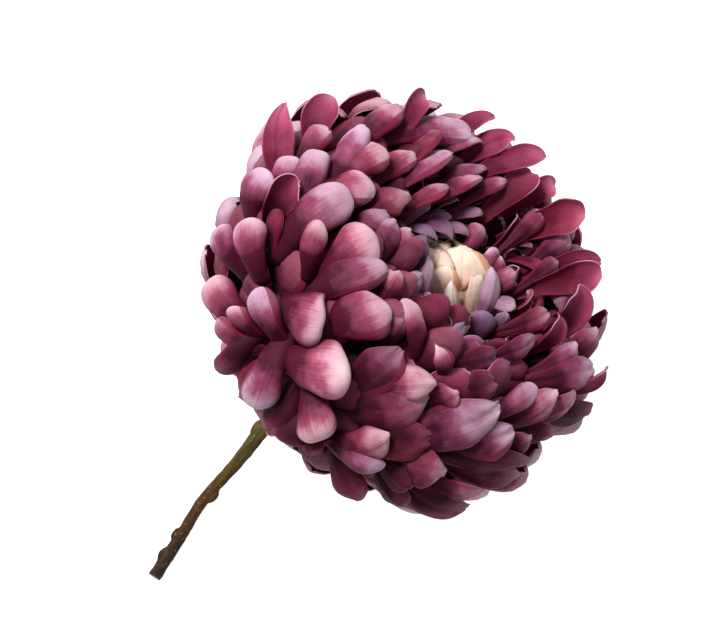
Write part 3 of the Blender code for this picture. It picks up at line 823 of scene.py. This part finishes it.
LOWER_RIGHT = [
    (BEAN, (420, 350), (411, 292), 3.2, 0.72, 1),
    (BLADE, (450, 378), (436, 342), 2.8, 0.8, 1),
    (LEAF, (462, 370), (503, 356), 4.4, 0.22),
    (LEAF, (458, 396), (504, 380), 4.8, 0.25),
    (BLADE, (434, 410), (460, 388), 4.0, 0.72),
    (LEAF, (412, 440), (505, 408), 7.0, 0.76, 2),
    (BEAN, (503, 422), (540, 380), 3.2, 0.82, 1),
    (BLADE, (524, 430), (560, 386), 5.0, 0.85, 1),
    (BLADE, (550, 426), (580, 392), 4.4, 0.72),
    (BLADE, (568, 426), (599, 410), 4.2, 0.2, -1),
    (LOBE, (582, 391), (606, 369), 3.0, 0.6, 0, 150),
    (LEAF, (560, 386), (597, 362), 4.4, 0.9, 1),
    (BLADE, (556, 372), (577, 340), 3.4, 0.84, 1),
    (BLADE, (578, 360), (598, 326), 4.2, 0.66, 1),
    (LOBE, (564, 328), (580, 290), 5.2, 0.45, 0, 180),
    (LOBE, (550, 347), (561, 317), 3.8, 0.5, -1, 160),
    (LEAF, (511, 362), (538, 334), 3.2, 0.74),
    (LEAF, (528, 328), (553, 308), 3.0, 0.7),
    (LEAF, (462, 453), (517, 428), 5.8, 0.68, 1.5),
    (BLADE, (503, 461), (537, 434), 4.0, 0.35),
    (BLADE, (530, 444), (560, 432), 3.4, 0.2, -1),
    (BLADE, (455, 470), (533, 460), 5.0, 0.22, 1),
    (BLADE, (460, 486), (527, 473), 4.2, 0.38),
    (BLADE, (406, 468), (448, 476), 6.0, 0.62, 1),
    (BLADE, (434, 502), (487, 493), 4.4, 0.7),
    (LEAF, (402, 505), (473, 514), 5.4, 0.25),
    (BLADE, (372, 496), (412, 512), 4.8, 0.15, -1),
    (LEAF, (362, 440), (440, 446), 6.4, 0.08, -1),
]
UPPER_RIGHT = [
    (LOBE, (408, 112), (424, 94), 3.2, 0.75, 0, 150),
    (BEAN, (403, 118), (481, 132), 5.0, 0.98, 1),
    (BLADE, (458, 122), (496, 118), 3.0, 0.6, 0, 160),
    (BLADE, (408, 148), (442, 128), 3.8, 0.4, 0, 30),
    (BLADE, (440, 140), (486, 138), 2.8, 0.92),
    (BLADE, (480, 144), (514, 138), 3.6, 0.75, 0, 150),
    (LOBE, (490, 163), (543, 158), 3.6, 0.52, 1, 160),
    (BLADE, (406, 166), (456, 152), 3.8, 0.98, 1),
    (BLADE, (443, 170), (490, 165), 3.0, 0.6),
    (BLADE, (440, 184), (484, 174), 3.4, 0.8),
    (BLADE, (418, 190), (452, 184), 3.2, 0.7),
    (BLADE, (480, 186), (510, 178), 2.6, 0.8),
    (LOBE, (508, 190), (532, 176), 4.4, 0.35, 0, 170),
    (LOBE, (534, 192), (554, 184), 3.2, 0.75, 0, 160),
    (LOBE, (542, 226), (578, 212), 4.8, 0.55, 1, 165),
    (BLADE, (529, 234), (541, 206), 2.8, 0.8, 1),
    (BLADE, (556, 254), (572, 230), 3.8, 0.75),
    (BLADE, (567, 266), (600, 259), 3.6, 0.6, 0, 160),
    (LOBE, (560, 284), (596, 272), 4.4, 0.58, 1, 165),
    (BLADE, (548, 282), (560, 256), 3.4, 0.65),
]
THROAT = [
    (BLADE, (521, 234), (535, 249), 2.4, 0.75),
    (BLADE, (532, 250), (552, 279), 3.8, 0.85, 1),
    (SHELL, (480, 250), (483, 223), 3.2, 0.8),
    (BEAN, (496, 272), (489, 245), 2.8, 0.9, 1),
    (BLADE, (501, 276), (503, 254), 2.2, 0.8),
    (BLADE, (503, 286), (518, 270), 3.0, 0.95),
    (LOBE, (520, 312), (536, 292), 3.0, 0.4, -2, 150),
    (LOBE, (510, 240), (520, 212), 3.2, 0.3, -2, 150),
]
FRONT_GROUPS = [
    ("upper_left_petals", UPPER_LEFT, HEAD_EGG),
    ("lower_left_petals", LOWER_LEFT, HEAD_EGG),
    ("lower_right_petals", LOWER_RIGHT, HEAD_EGG),
    ("upper_right_petals", UPPER_RIGHT, HEAD_EGG),
    ("throat_petals", THROAT, THROAT_EGG),
]


class Line:
    """A run of (radius, height) points, read by the distance along it."""

    def __init__(self, points):
        self.points = [Vector(p) for p in points]
        self.marks = [0.0]
        for a, b in zip(self.points, self.points[1:]):
            self.marks.append(self.marks[-1] + (b - a).length)
        self.length = self.marks[-1]

    def at(self, distance):
        distance = min(max(distance, 0), self.length)
        for i, (low, high) in enumerate(zip(self.marks, self.marks[1:])):
            if distance <= high:
                return self.points[i].lerp(self.points[i + 1], (distance - low) / (high - low))
        return self.points[-1].copy()

    def beside(self, distance, outwards):
        """The point at a distance along the line, moved outwards from it."""
        reach = 3 * MM
        way = (self.at(distance + reach) - self.at(distance - reach)).normalized()
        return self.at(distance) + Vector((way.y, -way.x)) * outwards


def ellipse_points(radius, half_height, middle, start, end):
    steps = 24
    angles = [start + (end - start) * i / steps for i in range(steps + 1)]
    return [(radius * math.sin(a), middle + half_height * math.cos(a)) for a in angles]


HEAD_LINE = Line(ellipse_points(HEAD_RADIUS, HEAD_HALF_DEPTH, 0, math.pi, SHOULDER_ANGLE) + HOLLOW)
CORE_LINE = Line(
    [
        (SEAT_RADIUS, CORE_BOTTOM),
        *ellipse_points(
            CORE_RADIUS,
            CORE_HALF_DEPTH,
            0,
            math.acos(CORE_BOTTOM / CORE_HALF_DEPTH),
            math.acos(CORE_TOP / CORE_HALF_DEPTH),
        ),
        (SEAT_RADIUS, CORE_TOP),
    ]
)


def smallness(share):
    """0 all over the ball, rising to 1 for the innermost florets of the hollow."""
    return max(0, (share - SMALLER_FROM) / (1 - SMALLER_FROM))


def floret_places():
    """(turn about the axis, distance along the head's line, share from back to face)."""
    close_packing = 0.87
    back = ellipse_points(HEAD_RADIUS, HEAD_HALF_DEPTH, 0, math.pi, BACK_ANGLE)
    first = Line(back).length
    step = 0.1 * MM
    places, distance, count = [], first, 0.5
    while distance < HEAD_LINE.length:
        share = (distance - first) / (HEAD_LINE.length - first)
        spacing = mix(BALL_SPACING, HOLLOW_SPACING, smallness(share))
        count += 2 * math.pi * HEAD_LINE.at(distance).x * step / (close_packing * spacing**2)
        if count >= 1:
            count -= 1
            places.append((len(places) * GOLDEN_ANGLE, distance, share))
        distance += step
    return places


def bloom_arc(distance, share, lift, lean):
    """Four control points of a floret's middle line, leant outwards about its tip."""
    small = smallness(share)
    reach = mix(BALL_REACH, HOLLOW_REACH, small)
    lean += mix(BALL_LEAN, HOLLOW_LEAN, small)
    lean += BACK_LEAN * max(0, 1 - share / BACK_LEAN_TO) ** 1.3
    turn = Matrix.Rotation(-lean, 2)
    root = CORE_LINE.beside(max(0, share - ROOT_BEHIND) * CORE_LINE.length, -ROOT_SINK)
    hip = HEAD_LINE.beside(distance - reach, lift)
    crest = HEAD_LINE.beside(distance - reach * 0.4, lift + BULGE)
    tip = HEAD_LINE.beside(distance, lift - TIP_TUCK)
    return root, tip + turn @ (hip - tip), tip + turn @ (crest - tip), tip


def combing(turn, share):
    """How far the petals are laid over: most on the upper side, where they hang on the ball."""
    upper = mix(*COMBING, max(0, -math.cos(turn)))
    return upper * min(1, max(0, (share - COMBED_FROM) / COMBED_OVER))


def seen_on(egg, spot):
    """Where a spot of the picture lies on an egg about the axis, and which way is outwards."""
    radius, half_height, middle, top = egg
    aim = (Vector(spot) - HEAD_IN_PICTURE) * PIXEL
    start = HEAD_PLACE.inverted() @ CAMERA_SEAT
    way = HEAD_PLACE.inverted() @ (HEAD_CENTRE + IMAGE_RIGHT * aim.x - IMAGE_UP * aim.y) - start
    shrink = Matrix.Diagonal((1 / radius, 1 / radius, 1 / half_height))
    near = shrink @ (start - Vector((0, 0, middle)))
    line = shrink @ way
    slope = near.dot(line)
    inside = slope * slope - line.dot(line) * (near.dot(near) - 1)
    reach = (-slope - math.sqrt(max(inside, 0))) / line.dot(line)
    place = start + way * max(reach, (top - start.z) / way.z)
    outwards = shrink @ shrink @ (place - Vector((0, 0, middle)))
    return HEAD_PLACE @ place, (HEAD_TURN.to_3x3() @ outwards).normalized()


def stood_up(points):
    """Raises the outer half of a petal towards the camera, so that it stands out of the head."""
    root = points[1]
    stood = points[:2]
    for point in points[2:]:
        sight = (CAMERA_SEAT - point).normalized()
        fall = (root.z - point.z) * STANDING
        stood.append(point + sight * max(0, fall) / sight.z)
    return stood


def front_petals(rows, egg, rises=FRONT_RISE):
    """Petals laid as a list of them says."""
    petals = []
    for pattern, root, tip, half_width, tone, *more in rows:
        lift, roll = (*more, 0, 0)[:2]
        root, tip = Vector(root), Vector(tip)
        points = []
        for share, rise in rises:
            place, outwards = seen_on(egg, root.lerp(tip, share))
            points.append(place + outwards * (rise + lift) * MM)
        if roll >= STANDING_ROLL:
            points = stood_up(points)
        outwards = seen_on(egg, root.lerp(tip, 0.6))[1]
        across = (points[3] - points[1]).cross(outwards).normalized()
        sway = math.sin(root.x) * FRONT_SWAY
        twist = math.sin(root.y) * FRONT_TWIST
        line = (points, across)
        width = half_width * FRONT_FULLNESS * MM
        petals.append(laid(pattern, line, width, tone, twist, sway, 0, math.radians(roll)))
    return petals


def lowered_in_front(turn, distance):
    """How far a floret makes room for the petals in front of it: all of it where it faces up."""
    spot = HEAD_LINE.at(distance)
    out = spot.x / HEAD_RADIUS**2
    outwards = Vector((out * math.cos(turn), out * math.sin(turn), spot.y / HEAD_HALF_DEPTH**2))
    upwards = (HEAD_TURN.to_3x3() @ outwards).normalized().z
    return min(1, max(0, (upwards - FACING_UP_FROM) / FACING_UP_OVER))


def right_side_painted_shade(turn):
    """Painted shade: the petals' tone is lowered, more crimson and less pale, on the right of the
    picture, away from the lamp.
    """
    outwards = HEAD_TURN.to_3x3() @ Vector((math.cos(turn), math.sin(turn), 0))
    return mix(1, RIGHT_SIDE_PAINTED_SHADE, max(0, outwards.dot(IMAGE_RIGHT)))


# The near-black claw ends of these runs are the claws' wine and painted shade where they sink
# between petals; the side colours are crimson edges and painted shade of the rolled sides.
PETAL_BACK = petal_material(
    "petal_back",
    [
        (0.3, (0.028, 0.002, 0.008)),
        (0.5, (0.085, 0.005, 0.022)),
        (0.75, (0.185, 0.02, 0.06)),
        (1.0, (0.35, 0.11, 0.185)),
    ],
    [
        (0.24, (0.065, 0.004, 0.018)),
        (0.42, (0.27, 0.055, 0.11)),
        (0.58, (0.51, 0.28, 0.36)),
        (0.92, (0.72, 0.56, 0.6)),
    ],
    (0.7, 0.45, 0.52),
    0.4,
    (0.15, 0.007, 0.032),
    0.75,
)
PETAL_INSIDE = petal_material(
    "petal_inside",
    [
        (0.25, (0.03, 0.002, 0.007)),
        (0.6, (0.12, 0.006, 0.025)),
        (1.0, (0.3, 0.03, 0.08)),
    ],
    [
        (0.25, (0.15, 0.008, 0.03)),
        (0.6, (0.42, 0.07, 0.145)),
        (1.0, (0.58, 0.22, 0.32)),
    ],
    (0.66, 0.34, 0.42),
    0.7,
    (0.26, 0.018, 0.065),
    0.3,
)


def bloom_petals():
    """Every petal of the spiral and the small rows, as (share from back to face, petal)."""
    draw = random.Random(FLORET_SEED)
    looks = random.Random(LOOKS_SEED)
    petals = []
    for turn, distance, share in floret_places():
        front = lowered_in_front(turn, distance)
        lift = draw.uniform(-LIFT_SPREAD, LIFT_SPREAD) * MM - FRONT_LOWERED * front
        lean = spread(draw, LEAN_SPREAD)
        twist = spread(draw, TWIST_SPREAD)
        aside = spread(draw, ASIDE_SPREAD)
        width = mix(BALL_HALF_WIDTH, HOLLOW_HALF_WIDTH, smallness(share))
        width *= draw.uniform(*WIDTH_RANGE)
        pattern = looks.choice([CAPSULE, CAPSULE, SPOON, KEEL, FLARE])
        # Painted shade: a lower tone for florets hidden under the petals in front, and on the right
        # of the picture.
        tone = looks.uniform(*TONE_RANGE) * mix(1, HIDDEN_PETALS_PAINTED_SHADE, front) * right_side_painted_shade(turn)
        sway = looks.uniform(-SWAY_SPREAD, SWAY_SPREAD)
        comb = combing(turn, share)
        line = about_axis(bloom_arc(distance, share, lift, lean), turn + aside)
        petals.append((share, laid(pattern, line, width * PETAL_FULLNESS, tone, twist, sway, comb)))
        gap = looks.uniform(*SECOND_GAP_RANGE) * BALL_SPACING * (1 - 0.5 * smallness(share))
        pattern = looks.choice([SPOON, KEEL, FLARE])
        step = SECOND_ASIDE * looks.choice([-1, 1])
        arc = bloom_arc(distance + gap - SECOND_BACK, share, lift - SECOND_BELOW, lean)
        line = about_axis(arc, turn + step)
        # Painted shade: the second floret lies beneath the others, so its tone is lowered.
        tone *= SECOND_PAINTED_SHADE
        petals.append((share, laid(pattern, line, width, tone, -twist, -sway, comb)))
    for row, (arc, half_width, count, share) in enumerate(SMALL_ROWS):
        for number in range(count):
            jitter = looks.uniform(-SMALL_JITTER, SMALL_JITTER)
            turn = row_turn(number, row, count, jitter)
            twist = spread(looks, SMALL_TWIST_SPREAD)
            offset = Vector((looks.uniform(*SMALL_OUTWARDS), looks.uniform(*SMALL_UPWARDS)))
            line = about_axis(raised(arc, offset), turn)
            pattern = looks.choice([SPOON, KEEL])
            width = half_width * looks.uniform(*SMALL_WIDTH_RANGE)
            tone = looks.uniform(*SMALL_TONE_RANGE)
            sway = looks.uniform(*SMALL_SWAY_RANGE)
            petals.append((share, laid(pattern, line, width, tone, twist, sway)))
    return petals


def cut_egg(radius, half_height, middle, cuts, segments=48):
    """A solid egg about the axis, cut flat at (height, way to cut off); it is in edit mode."""
    deselect_all()
    bpy.ops.mesh.primitive_uv_sphere_add(segments=segments, ring_count=segments // 2, radius=1)
    egg = bpy.context.object
    bpy.ops.transform.resize(value=(radius, radius, half_height))
    bpy.ops.transform.translate(value=(0, 0, middle))
    bpy.ops.object.transform_apply(location=True, scale=True)
    bpy.ops.object.mode_set(mode="EDIT")
    for height, up in cuts:
        bpy.ops.mesh.select_all(action="SELECT")
        bpy.ops.mesh.bisect(
            plane_co=(0, 0, height), plane_no=(0, 0, up), use_fill=True, clear_outer=True
        )
    return egg


def petal_bed():
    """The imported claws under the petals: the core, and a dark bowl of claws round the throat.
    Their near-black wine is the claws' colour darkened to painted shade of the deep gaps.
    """
    core = cut_egg(CORE_RADIUS, CORE_HALF_DEPTH, 0, [(CORE_BOTTOM, -1), (CORE_TOP, 1)])
    bowl = cut_egg(BOWL_RADIUS, BOWL_HALF_DEPTH, 0, [(BOWL_BOTTOM, -1), (BOWL_TOP, 1)])
    lip = BOWL_RADIUS * math.sqrt(1 - (BOWL_TOP / BOWL_HALF_DEPTH) ** 2)
    bpy.ops.mesh.inset(thickness=lip - BOWL_THROAT)
    bpy.ops.transform.translate(value=(0, 0, CORE_TOP - BOWL_TOP))
    bpy.ops.object.mode_set(mode="OBJECT")
    bed = joined("petal_bed", [core, bowl])
    bed.data.transform(HEAD_PLACE)
    made, tree, shader = new_material("petal_claws")
    grain = noise(object_place(tree), 260, 4)
    # Painted shade: near-black wine so that the gaps between petals read as deep shade.
    claw_wine_and_gap_shade = [(0.35, (0.022, 0.001, 0.006)), (0.7, (0.075, 0.004, 0.018))]
    looks = {
        "Base Color": ramp_node(grain, claw_wine_and_gap_shade),
        "Roughness": 0.8,
        "Normal": bumped(grain, 0.6, 1 * MM),
    }
    set_inputs(shader, looks)
    bed.data.materials.append(made)
    bpy.ops.object.shade_smooth_by_angle(angle=math.radians(40))
    return bed


bed = petal_bed()
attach(bed, "root")
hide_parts("bloom_florets")

groups = []
all_petals = bloom_petals()
for name, low, high in (
    ("back_petals", -1, 0.3),
    ("side_petals", 0.3, 0.55),
    ("shoulder_petals", 0.55, 0.78),
    ("face_petals", 0.78, 2),
):
    ring = [petal for share, petal in all_petals if low <= share < high]
    groups.append((name, ring, SPIRAL_RIPPLE))
for name, rows, egg in FRONT_GROUPS:
    groups.append((name, front_petals(rows, egg), FRONT_RIPPLE))
for name, petals, ripple in groups:
    piece = petal_piece(name, petals, [PETAL_BACK, PETAL_INSIDE], ripple)
    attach(piece, "root")
    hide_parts("bloom_florets")


# Inner florets: two rows of small narrow florets that stand round the bud, lilac grey with
# pale edges, rolled like the large ones but still half closed.
RING_ARCS = [
    [(14.6, 10), (15.6, 17), (17.2, 25), (14.2, 31)],
    [(13.2, 10), (13.7, 18), (14.4, 27), (10.8, 33)],
]
RING_FLORETS_IN_A_ROW = 11
RING_HALF_WIDTH = 3.3 * MM
RING_TURN_SPREAD = 4
RING_TWIST_SPREAD = 12
RING_HEIGHT_RANGE = (-1.5, 0.5)
RING_SEED = 5
RING_FOOT = 10 * MM
RING_LOWERED = 0.66
RING_FULLNESS = 1.1
RING_TONE = 0.6

# The inner florets that fold over the bud, listed like the petals in front.
RING_IN_SIGHT = [
    (BLADE, (414, 214), (440, 240), 2.2, 0.6),
    (BLADE, (430, 212), (454, 240), 2.4, 0.5, 1),
    (BLADE, (444, 214), (470, 238), 2.6, 0.55, 1),
    (BLADE, (426, 204), (457, 216), 2.4, 0.45, -1),
    (BLADE, (462, 202), (486, 214), 2.8, 0.7),
    (BLADE, (470, 214), (482, 232), 2.8, 0.2, -1),
    (BLADE, (412, 262), (430, 234), 3.4, 0.3),
    (BLADE, (402, 293), (424, 272), 2.8, 0.85, 1),
    (BLADE, (424, 318), (432, 290), 3.0, 0.45),
    (LOBE, (437, 336), (440, 312), 3.6, 0.15, -1, 160),
    (BLADE, (432, 340), (470, 318), 3.8, 0.75, 1),
    (SHELL, (490, 338), (487, 306), 4.2, 0.3, 0, 20),
    (BLADE, (460, 362), (488, 338), 3.6, 0.75),
    (BLADE, (506, 330), (508, 310), 3.0, 0.6),
    (BLADE, (416, 206), (432, 194), 3.0, 0.8),
    (BLADE, (498, 312), (489, 262), 3.0, 1.0, 0.5, 25),
    (BLADE, (426, 294), (433, 256), 3.0, 0.95, 1, -20),
    (BLADE, (499, 298), (516, 309), 2.6, 1.0, 1),
]
RING_EGG = (HEAD_RADIUS, HEAD_HALF_DEPTH, 0, 32 * MM)


def inner_petals():
    draw = random.Random(RING_SEED)
    petals = []
    for row, arc in enumerate(RING_ARCS):
        for number in range(RING_FLORETS_IN_A_ROW):
            turn = row_turn(number, row, RING_FLORETS_IN_A_ROW) + spread(draw, RING_TURN_SPREAD)
            twist = spread(draw, RING_TWIST_SPREAD)
            middle = raised(arc, Vector((0, draw.uniform(*RING_HEIGHT_RANGE))))
            middle = [Vector((p.x, mix(RING_FOOT, p.y, RING_LOWERED))) for p in middle]
            pattern = (SPOON, KEEL)[number % 2]
            tone = (number * 0.37 + row * 0.2) % 1 * RING_TONE
            width = RING_HALF_WIDTH * RING_FULLNESS
            petals.append(laid(pattern, about_axis(middle, turn), width, tone, twist))
    return petals + front_petals(RING_IN_SIGHT, RING_EGG)


LILAC_BACK = petal_material(
    "lilac_back",
    [(0.2, (0.05, 0.01, 0.03)), (0.6, (0.13, 0.045, 0.095)), (1.0, (0.25, 0.13, 0.2))],
    [(0.2, (0.14, 0.05, 0.1)), (0.5, (0.33, 0.21, 0.29)), (1.0, (0.6, 0.47, 0.53))],
    (0.75, 0.6, 0.66),
    0.8,
    (0.2, 0.05, 0.12),
    0.5,
    fineness=20.0,
)
LILAC_INSIDE = petal_material(
    "lilac_inside",
    [(0.2, (0.035, 0.004, 0.014)), (0.9, (0.13, 0.035, 0.075))],
    [(0.2, (0.11, 0.02, 0.06)), (0.9, (0.38, 0.2, 0.28))],
    (0.7, 0.55, 0.6),
    0.8,
    (0.12, 0.03, 0.07),
    0.3,
    fineness=20.0,
)
lilac_ring = petal_piece("inner_petals", inner_petals(), [LILAC_BACK, LILAC_INSIDE], 0.2 * MM)
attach(lilac_ring, "root")
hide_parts("inner_florets")


# Bud: the youngest florets, still folded over each other in a swirl. They are cream, with tan
# painted in the folds and at the claws as warm shade.
BUD_MIDDLE = 20 * MM
BUD_RADIUS = 10.2 * MM
BUD_HALF_HEIGHT = 13 * MM
BUD_LOW_ANGLE = math.radians(112)
BUD_HIGH_ANGLE = math.radians(22)
BUD_FLORETS = 11
BUD_HALF_WIDTHS = (8.0 * MM, 5.0 * MM)
BUD_REACH = 15 * MM
BUD_TWIST_RANGE = (12, 30)
BUD_SWAY = 0.8
BUD_SEED = 3

# A petal of the swirl from hip to tip: shares of its reach behind the tip, with the height
# above the bud in millimetres, and how far its root lies inwards and down from its hip.
BUD_LINE = [(0.8, -1.5), (0.3, 0.8), (0, -1.2)]
BUD_ROOT = (1.5, 3)

# The bud's heart: radius, half height and middle height of an egg, and its flat foot.
BUD_HEART = (7.5 * MM, 11.5 * MM, 18 * MM)
BUD_FOOT = 8.3 * MM

# The folded petals of the bud that the camera sees, listed like the petals in front, on an egg
# a little wider than the bud.
BUD_EGG = (12.5 * MM, BUD_HALF_HEIGHT, BUD_MIDDLE, 40 * MM)
BUD_RISE = [(-0.15, -3), (0.1, 0.2), (0.7, 1.0), (1.0, -1.5)]
BUD_IN_SIGHT = [
    (WRAP, (430, 312), (440, 242), 7.0, 0.35, -1.2, -30),
    (WRAP, (486, 316), (477, 256), 5.6, 0.45, -0.8, 30),
    (WRAP, (466, 328), (455, 237), 8.0, 1.0, 0.4, -4),
    (WRAP, (476, 322), (468, 246), 5.6, 0.93, 1.0, 12),
    (WRAP, (474, 318), (480, 268), 4.0, 0.97, 1.6, 20),
    (WRAP, (440, 322), (446, 264), 4.4, 0.85, 1.4, -16),
    (BLADE, (449, 334), (450, 280), 3.0, 0.98, 2.4, -10),
]


def bud_petals():
    draw = random.Random(BUD_SEED)
    petals = []
    line = Line(
        ellipse_points(BUD_RADIUS, BUD_HALF_HEIGHT, BUD_MIDDLE, BUD_LOW_ANGLE, BUD_HIGH_ANGLE)
    )
    for number in range(BUD_FLORETS):
        share = number / (BUD_FLORETS - 1)
        distance = line.length * mix(0.45, 1, share)
        arc = [line.beside(distance - BUD_REACH * back, rise * MM) for back, rise in BUD_LINE]
        arc.insert(0, arc[0] - Vector(BUD_ROOT) * MM)
        twist = math.radians(draw.uniform(*BUD_TWIST_RANGE))
        width = mix(*BUD_HALF_WIDTHS, share)
        tone = (number * 0.29) % 1
        round_axis = about_axis(arc, number * GOLDEN_ANGLE)
        petals.append(laid(WRAP, round_axis, width, tone, twist, BUD_SWAY))
    return petals + front_petals(BUD_IN_SIGHT, BUD_EGG, BUD_RISE)


# The tan claw ends and orange-tan side colour of the cream petals are painted warm shade in the
# folds.
CREAM_BACK = petal_material(
    "cream_back",
    [(0.2, (0.38, 0.13, 0.08)), (0.6, (0.64, 0.35, 0.24)), (1.0, (0.76, 0.52, 0.42))],
    [(0.1, (0.6, 0.31, 0.2)), (0.4, (0.77, 0.56, 0.43)), (1.0, (0.8, 0.68, 0.6))],
    (0.92, 0.85, 0.78),
    0.8,
    (0.56, 0.23, 0.11),
    0.75,
    fineness=24.0,
    rough=0.5,
)
cream_glow = {"Subsurface Weight": 0.35, "Subsurface Radius": (1.0, 0.5, 0.35)}
set_inputs(CREAM_BACK.node_tree.nodes["Principled BSDF"], cream_glow)
CREAM_INSIDE = petal_material(
    "cream_inside",
    [(0.2, (0.3, 0.08, 0.06)), (0.9, (0.56, 0.28, 0.2))],
    [(0.2, (0.44, 0.17, 0.11)), (0.9, (0.76, 0.53, 0.4))],
    (0.88, 0.78, 0.68),
    0.8,
    (0.46, 0.18, 0.1),
    0.3,
    fineness=24.0,
)
bud_skin = petal_piece("bud_petals", bud_petals(), [CREAM_BACK, CREAM_INSIDE], 0.15 * MM)
heart = cut_egg(*BUD_HEART, [(BUD_FOOT, -1)], segments=32)
bpy.ops.object.mode_set(mode="OBJECT")
heart.data.transform(HEAD_PLACE)
toned(heart, 0.2)
heart.data.materials.append(CREAM_INSIDE)
bud = joined("bud", [bud_skin, heart])
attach(bud, "root")
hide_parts("centre_florets")

for pattern in PATTERNS:
    bpy.data.objects.remove(pattern)


# Floor, light and camera: a plain pale floor under soft studio light from the upper left of
# the picture, with the camera straight above the flower.
camera = bpy.data.objects.new("camera", bpy.data.cameras.new("camera"))
bpy.context.scene.collection.objects.link(camera)
facing = Matrix((IMAGE_RIGHT, IMAGE_UP, Vector((0, 0, 1)))).transposed().to_4x4()
camera.matrix_world = Matrix.Translation(CAMERA_SEAT) @ facing
sight = CAMERA_HEIGHT - HEAD_CENTRE.z
camera.data.lens = camera.data.sensor_width * sight / (PICTURE_WIDTH * PIXEL)
bpy.context.scene.camera = camera
bpy.context.scene.view_settings.view_transform = "Standard"

# One square lamp: its place from the bloom in metres to the right, up and towards the camera,
# its width in metres and its power in watts.
LAMP_PLACE = (-0.55, 0.85, 1.3)
LAMP_WIDTH = 0.45
LAMP_POWER = 42
FLOOR_WIDTH = 3

lamp = bpy.data.objects.new("key", bpy.data.lights.new("key", "AREA"))
bpy.context.scene.collection.objects.link(lamp)
lamp.data.energy = LAMP_POWER
lamp.data.size = LAMP_WIDTH
right, up, above = LAMP_PLACE
lamp.location = HEAD_CENTRE + IMAGE_RIGHT * right + IMAGE_UP * up + Vector((0, 0, above))
lamp.rotation_mode = "QUATERNION"
lamp.rotation_quaternion = (HEAD_CENTRE - lamp.location).to_track_quat("-Z", "Y")

world = bpy.data.worlds.new("studio")
bpy.context.scene.world = world
world.use_nodes = True
set_inputs(world.node_tree.nodes["Background"], {"Color": (1, 1, 1, 1), "Strength": 0.5})

deselect_all()
bpy.ops.mesh.primitive_plane_add(size=FLOOR_WIDTH)
floor = bpy.context.object
floor.name = "floor"
floor_finish, floor_tree, floor_shader = new_material("pale_floor")
seen = add_node(floor_tree, "ShaderNodeLightPath").outputs["Is Camera Ray"]
floor_looks = {
    "Base Color": (0.6, 0.6, 0.6, 1),
    "Roughness": 0.8,
    "Emission Color": (1, 1, 1, 1),
    "Emission Strength": plus(times(seen, 0.6), 0.3),
}
set_inputs(floor_shader, floor_looks)
floor.data.materials.append(floor_finish)
